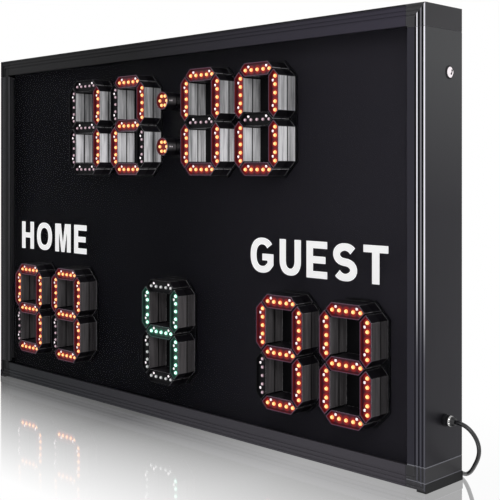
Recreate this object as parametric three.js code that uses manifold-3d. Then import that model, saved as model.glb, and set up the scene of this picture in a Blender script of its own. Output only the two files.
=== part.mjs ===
// Electronic scoreboard with raised seven-segment digits, in millimetres, +Z up.
// It faces -Y. The origin lies on the floor, midway across the board and midway front to back.
import * as THREE from 'three';
import { mergeGeometries, mergeVertices } from 'three/addons/utils/BufferGeometryUtils.js';
import Module from 'manifold-3d';

const wasm = await Module();
wasm.setup();

// Clearance between pieces that bear on each other, and how far a cutting solid passes its work.
const fit = 0.3;
const overrun = 2;

// The board as a whole: across the side rails, floor to top, and front to back of the rails.
const board = { wide: 1200, high: 740, deep: 100 };

// Extruded frame rail: an outer web, a ridged front face with a lip, and three inner ribs.
const rail = {
  webThick: 2.2, faceWide: 33.5, faceThick: 2.6, lipDeep: 5, lipThick: 2, ridgeWide: 3.4, ridgePitch: 6.6,
  ridgeCount: 3, grooveDeep: 1.4, ribThick: 2, sheetRibReach: 31.5, panelRibReach: 24, rearRibReach: 24,
  rearInset: 12,
};

// Moulded corner piece with two plugs that enter the rails, and the rubber foot under the lower ones.
const corner = { leg: 36, wall: 3, plugLong: 40, plugThick: 9.5 };
const foot = { thick: 2.7, underWide: 16, lipThick: 1.2, lipHigh: 14 };

// Clear front sheet, inner panel that carries the digits, and rear panel.
const sheet = { thick: 3, cover: 8, holeGap: 0.6 };
const inner = { thick: 3, cover: 10 };
const rear = { thick: 2 };

// One digit module: seven hexagonal lamp housings on a flange, and a driver board behind it with
// a riser into each housing that carries a strip of lamps just inside the rim.
const digit = {
  columnGap: 84, rowGap: 87, stroke: 23.5, segmentGap: 3, proud: 16, housingLong: 42.7, wall: 1.6,
  flangeMargin: 4, flangeThick: 2, driverMargin: 2, driverThick: 1.6, stripSink: 4.5, stripThick: 1.6,
  riserWide: 6,
};
const lamp = { radius: 3.1, high: 3.4, pitch: 14.5, offset: 0.8, perSegment: 5, sides: 5 };

// Where the digits stand: their spacing, how far the middle of a pair is from the side of the board,
// how far the upper row is below the top, and how high the lower row is.
const layout = {
  digitPitch: 144, pairFromSide: 215, clockHalfGap: 107.5, clockShift: 7, upperFromTop: 165, lowerHigh: 175,
};
const colon = { radius: 17, ringRadius: 10, lampCount: 6, halfGap: 44, sides: 16 };

// Fasteners on the sides and the back.
const sideBolt = {
  fromTop: 102, deep: 64.5, headRadius: 8.5, headHigh: 4.5, rimHigh: 1.5, crownRadius: 5.1, crownHigh: 3.6,
  shankRadius: 4, shankLong: 14, sides: 16,
};
const sideNut = { radius: 7, thick: 6, sides: 6 };
const hanger = {
  wide: 64, high: 44, thick: 7, footWide: 12, roomDeep: 5.2, headRadius: 5, neckRadius: 2.6, neckLong: 12,
  fromSide: 170, fromTop: 62, sides: 12,
};

// Service opening in the rear panel, its door, hinges and quarter-turn latch.
const door = { openWide: 240, openHigh: 180, overlap: 18, thick: 1.5, fromSide: 140, openBottom: 100 };
const hinge = {
  leafLong: 150, leafWide: 15, leafThick: 1.2, knuckleRadius: 3, pinRadius: 1.5, knuckleGap: 0.5,
  knuckleCount: 5, sides: 8,
};
const latch = {
  fromEdge: 20, shaftRadius: 4, headRadius: 8.5, headThick: 3, slotWide: 2.2, slotDeep: 1.4,
  camWide: 12, camLong: 26, camThick: 2.5, camBehind: 1.2, sides: 16,
};

// Mains rocker switch in the rear panel.
const rocker = {
  fromSide: 65, high: 210, bezelWide: 26, bezelHigh: 32, bezelThick: 1.8, bodyWide: 21, bodyHigh: 27,
  bodyDeep: 24, wall: 1.6, wellDeep: 12, keyWide: 15, keyHalf: 10, keyRise: 3.6, keyDrop: 5, restTurn: 10,
  arcSteps: 6,
};

// Cable gland low on the right side.
const gland = {
  high: 102, deep: 52, flangeRadius: 9.8, flangeThick: 4, shankRadius: 7.5, shankLong: 15, nutThick: 5,
  nutRadius: 11.5, domeRadius: 8.6, domeLong: 7, shoulderRadius: 6.9, shoulderLong: 2.7, noseRadius: 5.2,
  noseLong: 8, hexSides: 6, sides: 16,
};

// Mains lead: its diameter, how it is coiled, the tie round the coil and the plug.
const cord = { radius: 3.3, sides: 8, steps: 34 };
const coil = {
  x: 400, y: 118, loops: 2, outerRadius: 46, turnPitch: 8.4, layerStep: 7.7, sides: 6, stepsPerLoop: 24,
};
const tie = { wide: 9, thick: 0.8, room: 0.6 };
const plug = {
  reliefLong: 26, reliefEnd: 4.4, reliefStart: 7.5, bodyLong: 32, bodyWide: 27, bodyHigh: 21, bladeWide: 6.3,
  bladeThick: 1.5, bladeLong: 17, bladeGap: 12.7, earthRadius: 2.4, earthLong: 20, earthOffset: 6.6,
  bevel: 2.5, sides: 12,
};

// What works inside: power supply, controller with its radio receiver, and mains terminals.
const supply = { wide: 200, high: 98, deep: 30, aside: 20, above: 20, foldWide: 8, foldThick: 1.5 };
const controller = {
  wide: 150, high: 100, thick: 1.6, fromSupply: 77, postLong: 8, postWide: 7, postInset: 8,
  chipWide: 28, chipHigh: 3,
};
const receiver = { wide: 60, high: 36, deep: 14, above: 32, aerialThick: 5, aerialLong: 90 };
const terminal = { wide: 34, high: 22, deep: 28, fromSide: 55, notchHigh: 4, notchDeep: 6, wayCount: 3 };

// Depths from the front of the frame, back to front, worked out from the pieces above.
const middle = (board.deep - digit.proud) / 2;
const sheetFront = rail.lipDeep + fit;
const sheetBack = sheetFront + sheet.thick;
const flangeFront = digit.housingLong - digit.proud;
const flangeBack = flangeFront + digit.flangeThick;
const driverFront = flangeBack + fit;
const driverBack = driverFront + digit.driverThick;
const stripFront = digit.stripSink - digit.proud;
const panelFront = driverBack + fit;
const panelBack = panelFront + inner.thick;
const rearRibFront = board.deep - rail.rearInset;
const rearFront = rearRibFront + rail.ribThick + fit;
const rearBack = rearFront + rear.thick;
const doorFront = rearBack + fit;
const doorBack = doorFront + door.thick;
const frameBottom = foot.thick + fit;
const sideX = board.wide / 2;
const boltHigh = board.high - sideBolt.fromTop;

const group = new THREE.Group();
group.name = 'scoreboard';

// Finishes, close to the photographed ones.
const finish = {
  anodised: new THREE.MeshStandardMaterial({ color: 0x2b2b2f, roughness: 0.35, metalness: 0.8 }),
  corner: new THREE.MeshStandardMaterial({ color: 0x222226, roughness: 0.5, metalness: 0 }),
  rubber: new THREE.MeshStandardMaterial({ color: 0x0c0c0c, roughness: 0.85, metalness: 0 }),
  clear: new THREE.MeshStandardMaterial({
    color: 0x15151a, roughness: 0.08, transparent: true, opacity: 0.35,
  }),
  blackPanel: new THREE.MeshStandardMaterial({ color: 0x0b0b0d, roughness: 0.6, metalness: 0 }),
  paleHousing: new THREE.MeshStandardMaterial({ color: 0x8d8f92, roughness: 0.45, metalness: 0 }),
  darkHousing: new THREE.MeshStandardMaterial({ color: 0x2a2a2c, roughness: 0.45, metalness: 0 }),
  redLamps: new THREE.MeshStandardMaterial({ color: 0xe0502a, roughness: 0.3, metalness: 0 }),
  greenLamps: new THREE.MeshStandardMaterial({ color: 0x4fd09a, roughness: 0.3, metalness: 0 }),
  rearSteel: new THREE.MeshStandardMaterial({ color: 0x1c1c1f, roughness: 0.55, metalness: 0.3 }),
  nickel: new THREE.MeshStandardMaterial({ color: 0xc9c9cc, roughness: 0.25, metalness: 1 }),
  zinc: new THREE.MeshStandardMaterial({ color: 0x9a9da1, roughness: 0.4, metalness: 0.9 }),
  blackPlastic: new THREE.MeshStandardMaterial({ color: 0x101012, roughness: 0.5, metalness: 0 }),
  cordJacket: new THREE.MeshStandardMaterial({ color: 0x0d0d0e, roughness: 0.55, metalness: 0 }),
  circuit: new THREE.MeshStandardMaterial({ color: 0x1d5a35, roughness: 0.5, metalness: 0 }),
};

// Leaves a geometry with shared, plain vertices, as a closed solid needs.
function plain(geometry) {
  const bare = geometry.clone();
  bare.deleteAttribute('normal');
  bare.deleteAttribute('uv');
  return mergeVertices(bare);
}

// Turns the faces of a shared-vertex geometry to the other side.
function flipped(geometry) {
  const index = geometry.getIndex();
  for (let i = 0; i < index.count; i += 3) {
    const second = index.getX(i + 1);
    index.setX(i + 1, index.getX(i + 2));
    index.setX(i + 2, second);
  }
  return geometry;
}

// Places a geometry by a matrix that may mirror it, with its faces kept pointing out.
function moved(geometry, matrix) {
  const result = plain(geometry).applyMatrix4(matrix);
  return matrix.determinant() < 0 ? flipped(result) : result;
}

function toSolid(geometry) {
  const bare = plain(geometry);
  return new wasm.Manifold(new wasm.Mesh({
    numProp: 3,
    vertProperties: new Float32Array(bare.getAttribute('position').array),
    triVerts: new Uint32Array(bare.getIndex().array),
  }));
}

function toGeometry(solid) {
  const data = solid.getMesh();
  const geometry = new THREE.BufferGeometry();
  geometry.setAttribute('position', new THREE.BufferAttribute(new Float32Array(data.vertProperties), 3));
  geometry.setIndex(new THREE.BufferAttribute(new Uint32Array(data.triVerts), 1));
  return mergeVertices(geometry);
}

function joined(first, ...others) {
  return toGeometry(others.reduce((sum, other) => sum.add(toSolid(other)), toSolid(first)));
}

function cut(first, ...others) {
  return toGeometry(others.reduce((sum, other) => sum.subtract(toSolid(other)), toSolid(first)));
}

function together(parts) {
  return mergeGeometries(parts.map(plain));
}

function add(name, geometry, material) {
  const shape = plain(geometry);
  shape.computeVertexNormals();
  const mesh = new THREE.Mesh(shape, material);
  mesh.name = name;
  group.add(mesh);
}

// A box between two corners, given as x, depth behind the frame's front, and height.
function block(x0, x1, d0, d1, z0, z1) {
  const shape = new THREE.BoxGeometry(x1 - x0, d1 - d0, z1 - z0);
  return shape.translate((x0 + x1) / 2, (d0 + d1) / 2 - middle, (z0 + z1) / 2);
}

// A box given by its middle and size in x and z.
function centredBlock(x, z, wide, high, d0, d1) {
  return block(x - wide / 2, x + wide / 2, d0, d1, z - high / 2, z + high / 2);
}

function polygon(points, holes = []) {
  const shape = new THREE.Shape(points.map(([a, b]) => new THREE.Vector2(a, b)));
  shape.holes = holes.map((hole) => new THREE.Path(hole.map(([a, b]) => new THREE.Vector2(a, b))));
  return shape;
}

function extruded(shape, long) {
  return new THREE.ExtrudeGeometry(shape, { depth: long, bevelEnabled: false, steps: 1 });
}

// A plate whose outline lies in x and z, from one depth to another.
function plate(shape, d0, d1) {
  const matrix = new THREE.Matrix4().makeBasis(
    new THREE.Vector3(1, 0, 0), new THREE.Vector3(0, 0, 1), new THREE.Vector3(0, 1, 0));
  return moved(extruded(shape, d1 - d0), matrix.setPosition(0, d0 - middle, 0));
}

function rectangle(x0, x1, z0, z1) {
  return [[x0, z0], [x1, z0], [x1, z1], [x0, z1]];
}

function ring(radius, sides, x = 0, z = 0) {
  return Array.from({ length: sides }, (_, i) => {
    const angle = i * 2 * Math.PI / sides;
    return [x + radius * Math.cos(angle), z + radius * Math.sin(angle)];
  });
}

// A turned piece along x: its profile lists distance along x and radius, and closes on the axis.
function turnedAlongX(profile, sides, x, d, z, outward = 1) {
  const points = profile.map(([along, radius]) => new THREE.Vector2(radius, along));
  const shape = new THREE.LatheGeometry(points, sides);
  const matrix = new THREE.Matrix4().makeBasis(
    new THREE.Vector3(0, 1, 0), new THREE.Vector3(outward, 0, 0), new THREE.Vector3(0, 0, 1));
  return outwardFacing(moved(shape, matrix.setPosition(x, d - middle, z)));
}

// Volume by the sum of signed tetrahedra; a negative one means that the faces point in.
function outwardFacing(geometry) {
  const position = geometry.getAttribute('position');
  const index = geometry.getIndex();
  const corners = [new THREE.Vector3(), new THREE.Vector3(), new THREE.Vector3()];
  let volume = 0;
  for (let i = 0; i < index.count; i += 3) {
    corners.forEach((corner, k) => corner.fromBufferAttribute(position, index.getX(i + k)));
    volume += corners[0].dot(corners[1].clone().cross(corners[2]));
  }
  return volume < 0 ? flipped(geometry) : geometry;
}

// Frame rails

function ridgedFace(outline) {
  for (let k = 0; k < rail.ridgeCount; k += 1) {
    const start = k * rail.ridgePitch;
    const ridgeEnd = start + rail.ridgeWide;
    const end = start + rail.ridgePitch;
    outline.push([start, 0], [ridgeEnd, 0], [ridgeEnd, rail.grooveDeep], [end, rail.grooveDeep]);
  }
  const face = rail.faceWide;
  outline.push([rail.ridgeCount * rail.ridgePitch, 0], [face, 0], [face, rail.lipDeep]);
}

function railSection() {
  const outline = [];
  const web = rail.webThick;
  const lipInner = rail.faceWide - rail.lipThick;
  ridgedFace(outline);
  outline.push([lipInner, rail.lipDeep], [lipInner, rail.faceThick]);
  outline.push([web, rail.faceThick]);
  const ribs = [
    [sheetBack + fit, rail.sheetRibReach],
    [panelBack + fit, rail.panelRibReach],
    [rearRibFront, rail.rearRibReach],
  ];
  for (const [front, reach] of ribs) {
    outline.push([web, front], [reach, front], [reach, front + rail.ribThick], [web, front + rail.ribThick]);
  }
  outline.push([web, board.deep], [0, board.deep]);
  return polygon(outline);
}

// A rail runs along one axis; inward points from its outer face to the middle of the board.
function railAlong(inward, along, start, long) {
  const matrix = new THREE.Matrix4().makeBasis(inward, new THREE.Vector3(0, 1, 0), along);
  return moved(extruded(railSection(), long), matrix.setPosition(start));
}

// A round cutter through a side rail.
function sideCutter(radius, sides, side, deep, high) {
  const profile = [[-corner.leg, 0], [-corner.leg, radius], [overrun, radius], [overrun, 0]];
  return turnedAlongX(profile, sides, side * sideX, deep, high, side);
}

function buildRails() {
  const reach = corner.leg + fit;
  const acrossLong = board.wide - 2 * reach;
  const upLong = board.high - frameBottom - 2 * reach;
  const across = new THREE.Vector3(1, 0, 0);
  const up = new THREE.Vector3(0, 0, 1);
  const down = new THREE.Vector3(0, 0, -1);
  const left = new THREE.Vector3(-1, 0, 0);
  const topStart = new THREE.Vector3(reach - sideX, -middle, board.high);
  const bottomStart = new THREE.Vector3(reach - sideX, -middle, frameBottom);
  const leftStart = new THREE.Vector3(-sideX, -middle, frameBottom + reach);
  const rightStart = new THREE.Vector3(sideX, -middle, frameBottom + reach);
  const boltRadius = sideBolt.shankRadius + fit;
  const boltHole = (side) => sideCutter(boltRadius, sideBolt.sides, side, sideBolt.deep, boltHigh);
  const glandHole = sideCutter(gland.shankRadius + fit, gland.sides, 1, gland.deep, gland.high);
  const leftRail = railAlong(across, up, leftStart, upLong);
  const rightRail = railAlong(left, up, rightStart, upLong);
  add('rail_top', railAlong(down, across, topStart, acrossLong), finish.anodised);
  add('rail_bottom', railAlong(up, across, bottomStart, acrossLong), finish.anodised);
  add('rail_left', cut(leftRail, boltHole(-1)), finish.anodised);
  add('rail_right', cut(rightRail, boltHole(1), glandHole), finish.anodised);
}

// Corner pieces: p runs in from the side face, q in from the top or bottom face, then depth.

function elbow(thick, long) {
  return polygon([[0, 0], [long, 0], [long, thick], [thick, thick], [thick, long], [0, long]]);
}

function elbowGroove(near, far, long) {
  return polygon([[near, near], [long, near], [long, far], [far, far], [far, long], [near, long]]);
}

function cornerPiece() {
  const faceBlock = extruded(elbow(rail.faceWide, corner.leg), rail.lipDeep);
  const walls = extruded(elbow(corner.wall, corner.leg), board.deep);
  const grooves = Array.from({ length: rail.ridgeCount }, (_, k) => {
    const near = k * rail.ridgePitch + rail.ridgeWide;
    const shape = elbowGroove(near, (k + 1) * rail.ridgePitch, corner.leg + overrun);
    return extruded(shape, rail.grooveDeep + overrun).translate(0, 0, -overrun);
  });
  const plugNear = rail.webThick + fit;
  const plugFront = panelBack + fit + rail.ribThick + fit;
  const plugBack = rearRibFront - fit;
  const plugs = extruded(elbowGroove(plugNear, plugNear + corner.plugThick, corner.leg + corner.plugLong),
    plugBack - plugFront).translate(0, 0, plugFront);
  return joined(cut(joined(faceBlock, walls), ...grooves), plugs);
}

function buildCorners() {
  const piece = cornerPiece();
  const places = [
    ['corner_top_left', -1, 1], ['corner_top_right', 1, 1],
    ['corner_bottom_left', -1, -1], ['corner_bottom_right', 1, -1],
  ];
  for (const [name, side, top] of places) {
    const matrix = new THREE.Matrix4().makeBasis(
      new THREE.Vector3(-side, 0, 0), new THREE.Vector3(0, 0, -top), new THREE.Vector3(0, 1, 0));
    matrix.setPosition(side * sideX, -middle, top > 0 ? board.high : frameBottom);
    add(name, moved(piece, matrix), finish.corner);
  }
}

function buildFeet() {
  for (const [name, side] of [['foot_left', -1], ['foot_right', 1]]) {
    const outside = sideX + fit + foot.lipThick;
    const outline = [
      [sideX - foot.underWide, 0], [outside, 0], [outside, foot.lipHigh], [sideX + fit, foot.lipHigh],
      [sideX + fit, foot.thick], [sideX - foot.underWide, foot.thick],
    ].map(([x, z]) => [side * x, z]);
    add(name, outwardFacing(plate(polygon(outline), 0, board.deep)), finish.rubber);
  }
}

// Digits

// The seven segments of a digit, as shares of half the column gap and of the row gap.
const segmentShares = [
  { across: 0, up: 1, upright: false },
  { across: 0, up: 0, upright: false },
  { across: 0, up: -1, upright: false },
  { across: -1, up: 0.5, upright: true },
  { across: 1, up: 0.5, upright: true },
  { across: -1, up: -0.5, upright: true },
  { across: 1, up: -0.5, upright: true },
];

const upperRow = board.high - layout.upperFromTop;
const lowerRow = layout.lowerHigh;
const pairCentre = sideX - layout.pairFromSide;
const digits = [
  { name: 'clock_1', x: layout.clockShift - layout.clockHalfGap - layout.digitPitch, z: upperRow },
  { name: 'clock_2', x: layout.clockShift - layout.clockHalfGap, z: upperRow },
  { name: 'clock_3', x: layout.clockShift + layout.clockHalfGap, z: upperRow },
  { name: 'clock_4', x: layout.clockShift + layout.clockHalfGap + layout.digitPitch, z: upperRow },
  { name: 'home_1', x: -pairCentre - layout.digitPitch / 2, z: lowerRow },
  { name: 'home_2', x: -pairCentre + layout.digitPitch / 2, z: lowerRow },
  { name: 'period_1', x: 0, z: lowerRow },
  { name: 'guest_1', x: pairCentre - layout.digitPitch / 2, z: lowerRow },
  { name: 'guest_2', x: pairCentre + layout.digitPitch / 2, z: lowerRow },
];

function segmentsOf(place) {
  return segmentShares.map((segment) => ({
    x: place.x + segment.across * digit.columnGap / 2,
    z: place.z + segment.up * digit.rowGap,
    upright: segment.upright,
    halfLong: (segment.upright ? digit.rowGap : digit.columnGap) / 2 - digit.segmentGap * Math.SQRT1_2,
  }));
}

// Six-sided outline of a segment, drawn in by the given margin all round.
function hexagon(segment, margin) {
  const half = digit.stroke / 2 - margin;
  const tip = segment.halfLong - margin * Math.SQRT2;
  const lower = [[-tip, 0], [half - tip, -half], [tip - half, -half]];
  const points = [...lower, ...lower.map(([a, b]) => [-a, -b])];
  const { x, z, upright } = segment;
  return points.map(([a, b]) => (upright ? [x - b, z + a] : [x + a, z + b]));
}

function lampPlaces({ x, z, upright }) {
  return Array.from({ length: lamp.perSegment }, (_, i) => {
    const along = (i - (lamp.perSegment - 1) / 2) * lamp.pitch;
    return upright ? [x + lamp.offset, z + along] : [x + along, z - lamp.offset];
  });
}

// A lamp stands on its strip and comes to a point in front; its base is let into the strip.
function lampBody([x, z]) {
  const body = new THREE.ConeGeometry(lamp.radius, lamp.high + fit, lamp.sides);
  body.rotateX(Math.PI);
  return body.translate(x, stripFront - (lamp.high - fit) / 2 - middle, z);
}

function riserPost([x, z]) {
  const front = stripFront + digit.stripThick / 2;
  const back = driverFront + digit.driverThick / 2;
  return centredBlock(x, z, digit.riserWide, digit.riserWide, front, back);
}

// The eight-sided outline that the outer segments of a digit lie along, grown by a margin.
function digitOutline(place, margin) {
  const halfWide = (digit.columnGap + digit.stroke) / 2 + margin;
  const halfHigh = digit.rowGap + digit.stroke / 2 + margin;
  const chamfer = digit.stroke + digit.segmentGap * Math.SQRT1_2 + margin + margin - margin * Math.SQRT2;
  const quarter = [[halfWide - chamfer, halfHigh], [halfWide, halfHigh - chamfer]];
  const right = [...quarter, ...quarter.map(([a, b]) => [a, -b]).reverse()];
  const outline = [...right, ...right.map(([a, b]) => [-a, b]).reverse()];
  return outline.map(([a, b]) => [place.x + a, place.z + b]);
}

const colonCentres = [-1, 1].map((side) => [layout.clockShift, upperRow + side * colon.halfGap]);

function colonOutline(margin) {
  const halfWide = colon.radius + margin;
  const halfHigh = colon.halfGap + colon.radius + margin;
  return rectangle(layout.clockShift - halfWide, layout.clockShift + halfWide,
    upperRow - halfHigh, upperRow + halfHigh);
}

// Tubes of the given outlines joined to a flange, bored through from the rim to the back.
function housing(flangeOutline, outlines, bores) {
  const tubes = outlines.map((outline) => plate(polygon(outline), -digit.proud, flangeBack));
  const flange = plate(polygon(flangeOutline), flangeFront, flangeBack);
  const cutters = bores.map((bore) => plate(polygon(bore), -digit.proud - overrun, flangeBack + overrun));
  return cut(joined(flange, together(tubes)), together(cutters));
}

// A driver board with a riser and a lamp strip for each of the places, and the lamps on the strips.
function lampModule(boardOutline, centres, strips, lampPositions) {
  const boardPlate = plate(polygon(boardOutline), driverFront, driverBack);
  const stripPlates = strips.map((strip) => plate(polygon(strip), stripFront, stripFront + digit.stripThick));
  const risers = together(centres.map(riserPost));
  return joined(boardPlate, risers, together(stripPlates), together(lampPositions.map(lampBody)));
}

function buildDigits() {
  for (const place of digits) {
    const segments = segmentsOf(place);
    const outlines = (margin) => segments.map((segment) => hexagon(segment, margin));
    const shell = housing(digitOutline(place, digit.flangeMargin), outlines(0), outlines(digit.wall));
    const centres = segments.map(({ x, z }) => [x, z]);
    const strips = outlines(digit.wall + fit);
    const driver = digitOutline(place, -digit.driverMargin);
    const lamps = lampModule(driver, centres, strips, segments.flatMap(lampPlaces));
    const onClock = place.name.startsWith('clock');
    const onPeriod = place.name.startsWith('period');
    add(`${place.name}_housing`, shell, onClock ? finish.paleHousing : finish.darkHousing);
    add(`${place.name}_lamps`, lamps, onPeriod ? finish.greenLamps : finish.redLamps);
  }
}

function buildColon() {
  const round = (radius) => colonCentres.map(([x, z]) => ring(radius, colon.sides, x, z));
  const bores = round(colon.radius - digit.wall);
  const shell = housing(colonOutline(digit.flangeMargin), round(colon.radius), bores);
  const strips = round(colon.radius - digit.wall - fit);
  const lampPositions = colonCentres.flatMap(([x, z]) => ring(colon.ringRadius, colon.lampCount, x, z));
  add('colon_housing', shell, finish.darkHousing);
  add('colon_lamps', lampModule(colonOutline(-digit.driverMargin), colonCentres, strips, lampPositions),
    finish.redLamps);
}

// Sheets and panels

function panelOutline(inset) {
  return rectangle(inset - sideX, sideX - inset, frameBottom + inset, board.high - inset);
}

function buildFrontSheet() {
  const holes = digits.map((place) => digitOutline(place, sheet.holeGap));
  holes.push(...colonCentres.map(([x, z]) => ring(colon.radius + sheet.holeGap, colon.sides, x, z)));
  const cutters = holes.map((hole) => plate(polygon(hole), sheetFront - overrun, sheetBack + overrun));
  const whole = plate(polygon(panelOutline(rail.faceWide - sheet.cover)), sheetFront, sheetBack);
  add('front_sheet', cut(whole, together(cutters)), finish.clear);
}

function buildInnerPanel() {
  const outline = panelOutline(rail.panelRibReach - inner.cover);
  add('inner_panel', plate(polygon(outline), panelFront, panelBack), finish.blackPanel);
}

const doorOpening = {
  x0: sideX - door.fromSide - door.openWide, x1: sideX - door.fromSide,
  z0: door.openBottom, z1: door.openBottom + door.openHigh,
};
const switchX = sideX - rocker.fromSide;
const switchZ = rocker.high;

function buildRearPanel() {
  const { x0, x1, z0, z1 } = doorOpening;
  const halfWide = rocker.bodyWide / 2 + fit;
  const halfHigh = rocker.bodyHigh / 2 + fit;
  const switchHole = rectangle(
    switchX - halfWide, switchX + halfWide, switchZ - halfHigh, switchZ + halfHigh);
  const outline = panelOutline(corner.wall + fit);
  const shape = polygon(outline, [rectangle(x0, x1, z0, z1), switchHole]);
  add('rear_panel', plate(shape, rearFront, rearBack), finish.rearSteel);
}

// Hanger: a plate raised off the rear panel on two feet, with a keyhole for the head of a wall screw.
function buildHangers() {
  const front = rearBack + fit;
  const back = front + hanger.thick;
  for (const [name, side] of [['hanger_plate_left', -1], ['hanger_plate_right', 1]]) {
    const x = side * (sideX - hanger.fromSide);
    const z = board.high - hanger.fromTop;
    const whole = centredBlock(x, z, hanger.wide, hanger.high, front, back);
    const roomWide = hanger.wide - 2 * hanger.footWide;
    const roomHigh = hanger.high + 2 * overrun;
    const room = centredBlock(x, z, roomWide, roomHigh, front - overrun, front + hanger.roomDeep);
    const keyhole = plate(polygon(keyholeOutline(x, z - hanger.neckLong / 2)), front, back + overrun);
    add(name, cut(whole, room, keyhole), finish.zinc);
  }
}

// A round hole with a narrower neck above it, as one outline.
function keyholeOutline(x, z) {
  const meet = Math.asin(hanger.neckRadius / hanger.headRadius);
  const top = z + hanger.neckLong;
  const round = arc(hanger.headRadius, x, z, Math.PI / 2 + meet, 5 * Math.PI / 2 - meet, hanger.sides);
  const neck = arc(hanger.neckRadius, x, top, 0, Math.PI, hanger.sides / 2);
  return [...round, ...neck];
}

// Points along an arc, both ends included.
function arc(radius, x, z, from, to, steps) {
  return Array.from({ length: steps + 1 }, (_, i) => {
    const angle = from + i * (to - from) / steps;
    return [x + radius * Math.cos(angle), z + radius * Math.sin(angle)];
  });
}

// Service door

const doorPlate = {
  x0: doorOpening.x0 - door.overlap, x1: doorOpening.x1 + door.overlap,
  z0: doorOpening.z0 - door.overlap, z1: doorOpening.z1 + door.overlap,
};
const hingeX = doorPlate.x0 - hinge.knuckleRadius - fit - fit;
const hingeDepth = rearBack + fit + hinge.knuckleRadius + fit;
const hingeZ = (doorPlate.z0 + doorPlate.z1) / 2;
const latchX = doorOpening.x1 - latch.fromEdge;
const latchZ = hingeZ;

// A round bar on the hinge line.
function hingeBar(radius, z0, z1) {
  return extruded(polygon(ring(radius, hinge.sides)), z1 - z0).translate(hingeX, hingeDepth - middle, z0);
}

// Heights of the knuckles: even ones belong to the fixed leaf, odd ones to the door's leaf.
function knuckleSpans(first) {
  const step = hinge.leafLong / hinge.knuckleCount;
  const spans = [];
  for (let k = first; k < hinge.knuckleCount; k += 2) {
    const z0 = hingeZ - hinge.leafLong / 2 + k * step;
    spans.push([z0, z0 + step - hinge.knuckleGap]);
  }
  return spans;
}

// A leaf with its knuckles, cut back where the other leaf's knuckles turn and bored for the pin.
function hingeLeaf(first, x0, x1, front, roomX0, roomX1) {
  const low = hingeZ - hinge.leafLong / 2;
  const high = hingeZ + hinge.leafLong / 2 - hinge.knuckleGap;
  const leaf = block(x0, x1, front, front + hinge.leafThick, low, high);
  const roomBack = hingeDepth + hinge.knuckleRadius + overrun;
  const rooms = knuckleSpans(1 - first).map(([z0, z1]) => block(
    roomX0, roomX1, front - overrun, roomBack, z0 - hinge.knuckleGap, z1 + hinge.knuckleGap));
  const bars = knuckleSpans(first).map(([z0, z1]) => hingeBar(hinge.knuckleRadius, z0, z1));
  const bore = hingeBar(hinge.pinRadius + fit, low - overrun, high + overrun);
  return cut(joined(cut(leaf, together(rooms)), together(bars)), bore);
}

function buildDoor() {
  const { x0, x1, z0, z1 } = doorPlate;
  const shaftHole = ring(latch.shaftRadius + fit, latch.sides, latchX, latchZ);
  const doorShape = polygon(rectangle(x0, x1, z0, z1), [shaftHole]);
  add('service_door', plate(doorShape, doorFront, doorBack), finish.rearSteel);
  const reach = hinge.knuckleRadius + fit;
  const fixedX = hingeX - hinge.leafWide;
  const swingX = hingeX + hinge.leafWide;
  const fixedLeaf = hingeLeaf(0, fixedX, hingeX, rearBack + fit, hingeX - reach, hingeX + overrun);
  const doorLeaf = hingeLeaf(1, hingeX, swingX, doorBack + fit, hingeX - overrun, hingeX + reach);
  const half = hinge.leafLong / 2;
  add('hinge_fixed_leaf', fixedLeaf, finish.zinc);
  add('hinge_door_leaf', doorLeaf, finish.zinc);
  add('hinge_pin', hingeBar(hinge.pinRadius, hingeZ - half, hingeZ + half), finish.zinc);
}

// Quarter-turn latch: at rest its cam hangs inside the opening, so that the door is free.
function buildLatch() {
  const camBack = rearFront - latch.camBehind;
  const camFront = camBack - latch.camThick;
  const headFront = doorBack + fit;
  const headBack = headFront + latch.headThick;
  const shaftRing = ring(latch.shaftRadius, latch.sides, latchX, latchZ);
  const shaft = plate(polygon(shaftRing), camFront, headFront + fit);
  const head = plate(polygon(ring(latch.headRadius, latch.sides, latchX, latchZ)), headFront, headBack);
  const slotLong = 2 * (latch.headRadius + overrun);
  const slot = centredBlock(latchX, latchZ, latch.slotWide, slotLong, headBack - latch.slotDeep,
    headBack + overrun);
  add('latch_knob', joined(cut(head, slot), shaft), finish.nickel);
  const halfCam = latch.camWide / 2;
  const cam = rectangle(latchX - halfCam, latchX + halfCam, latchZ - latch.camLong, latchZ + halfCam);
  const camHole = ring(latch.shaftRadius + fit, latch.sides, latchX, latchZ);
  add('latch_cam', plate(polygon(cam, [camHole]), camFront, camBack), finish.zinc);
}

// Rocker switch

function buildSwitch() {
  const bezelFront = rearBack + fit;
  const bezelBack = bezelFront + rocker.bezelThick;
  const bodyFront = bezelBack - rocker.bodyDeep;
  const { bezelWide, bezelHigh, bodyWide, bodyHigh } = rocker;
  const bezel = centredBlock(switchX, switchZ, bezelWide, bezelHigh, bezelFront, bezelBack);
  const body = centredBlock(switchX, switchZ, bodyWide, bodyHigh, bodyFront, bezelFront + fit);
  const wellWide = rocker.keyWide + 2 * fit;
  const wellHigh = bodyHigh - 2 * rocker.wall;
  const well = centredBlock(switchX, switchZ, wellWide, wellHigh, bezelBack - rocker.wellDeep,
    bezelBack + overrun);
  add('switch_body', cut(joined(bezel, body), well), finish.blackPlastic);
  add('switch_rocker', rockerKey(bezelBack), finish.blackPlastic);
}

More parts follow.
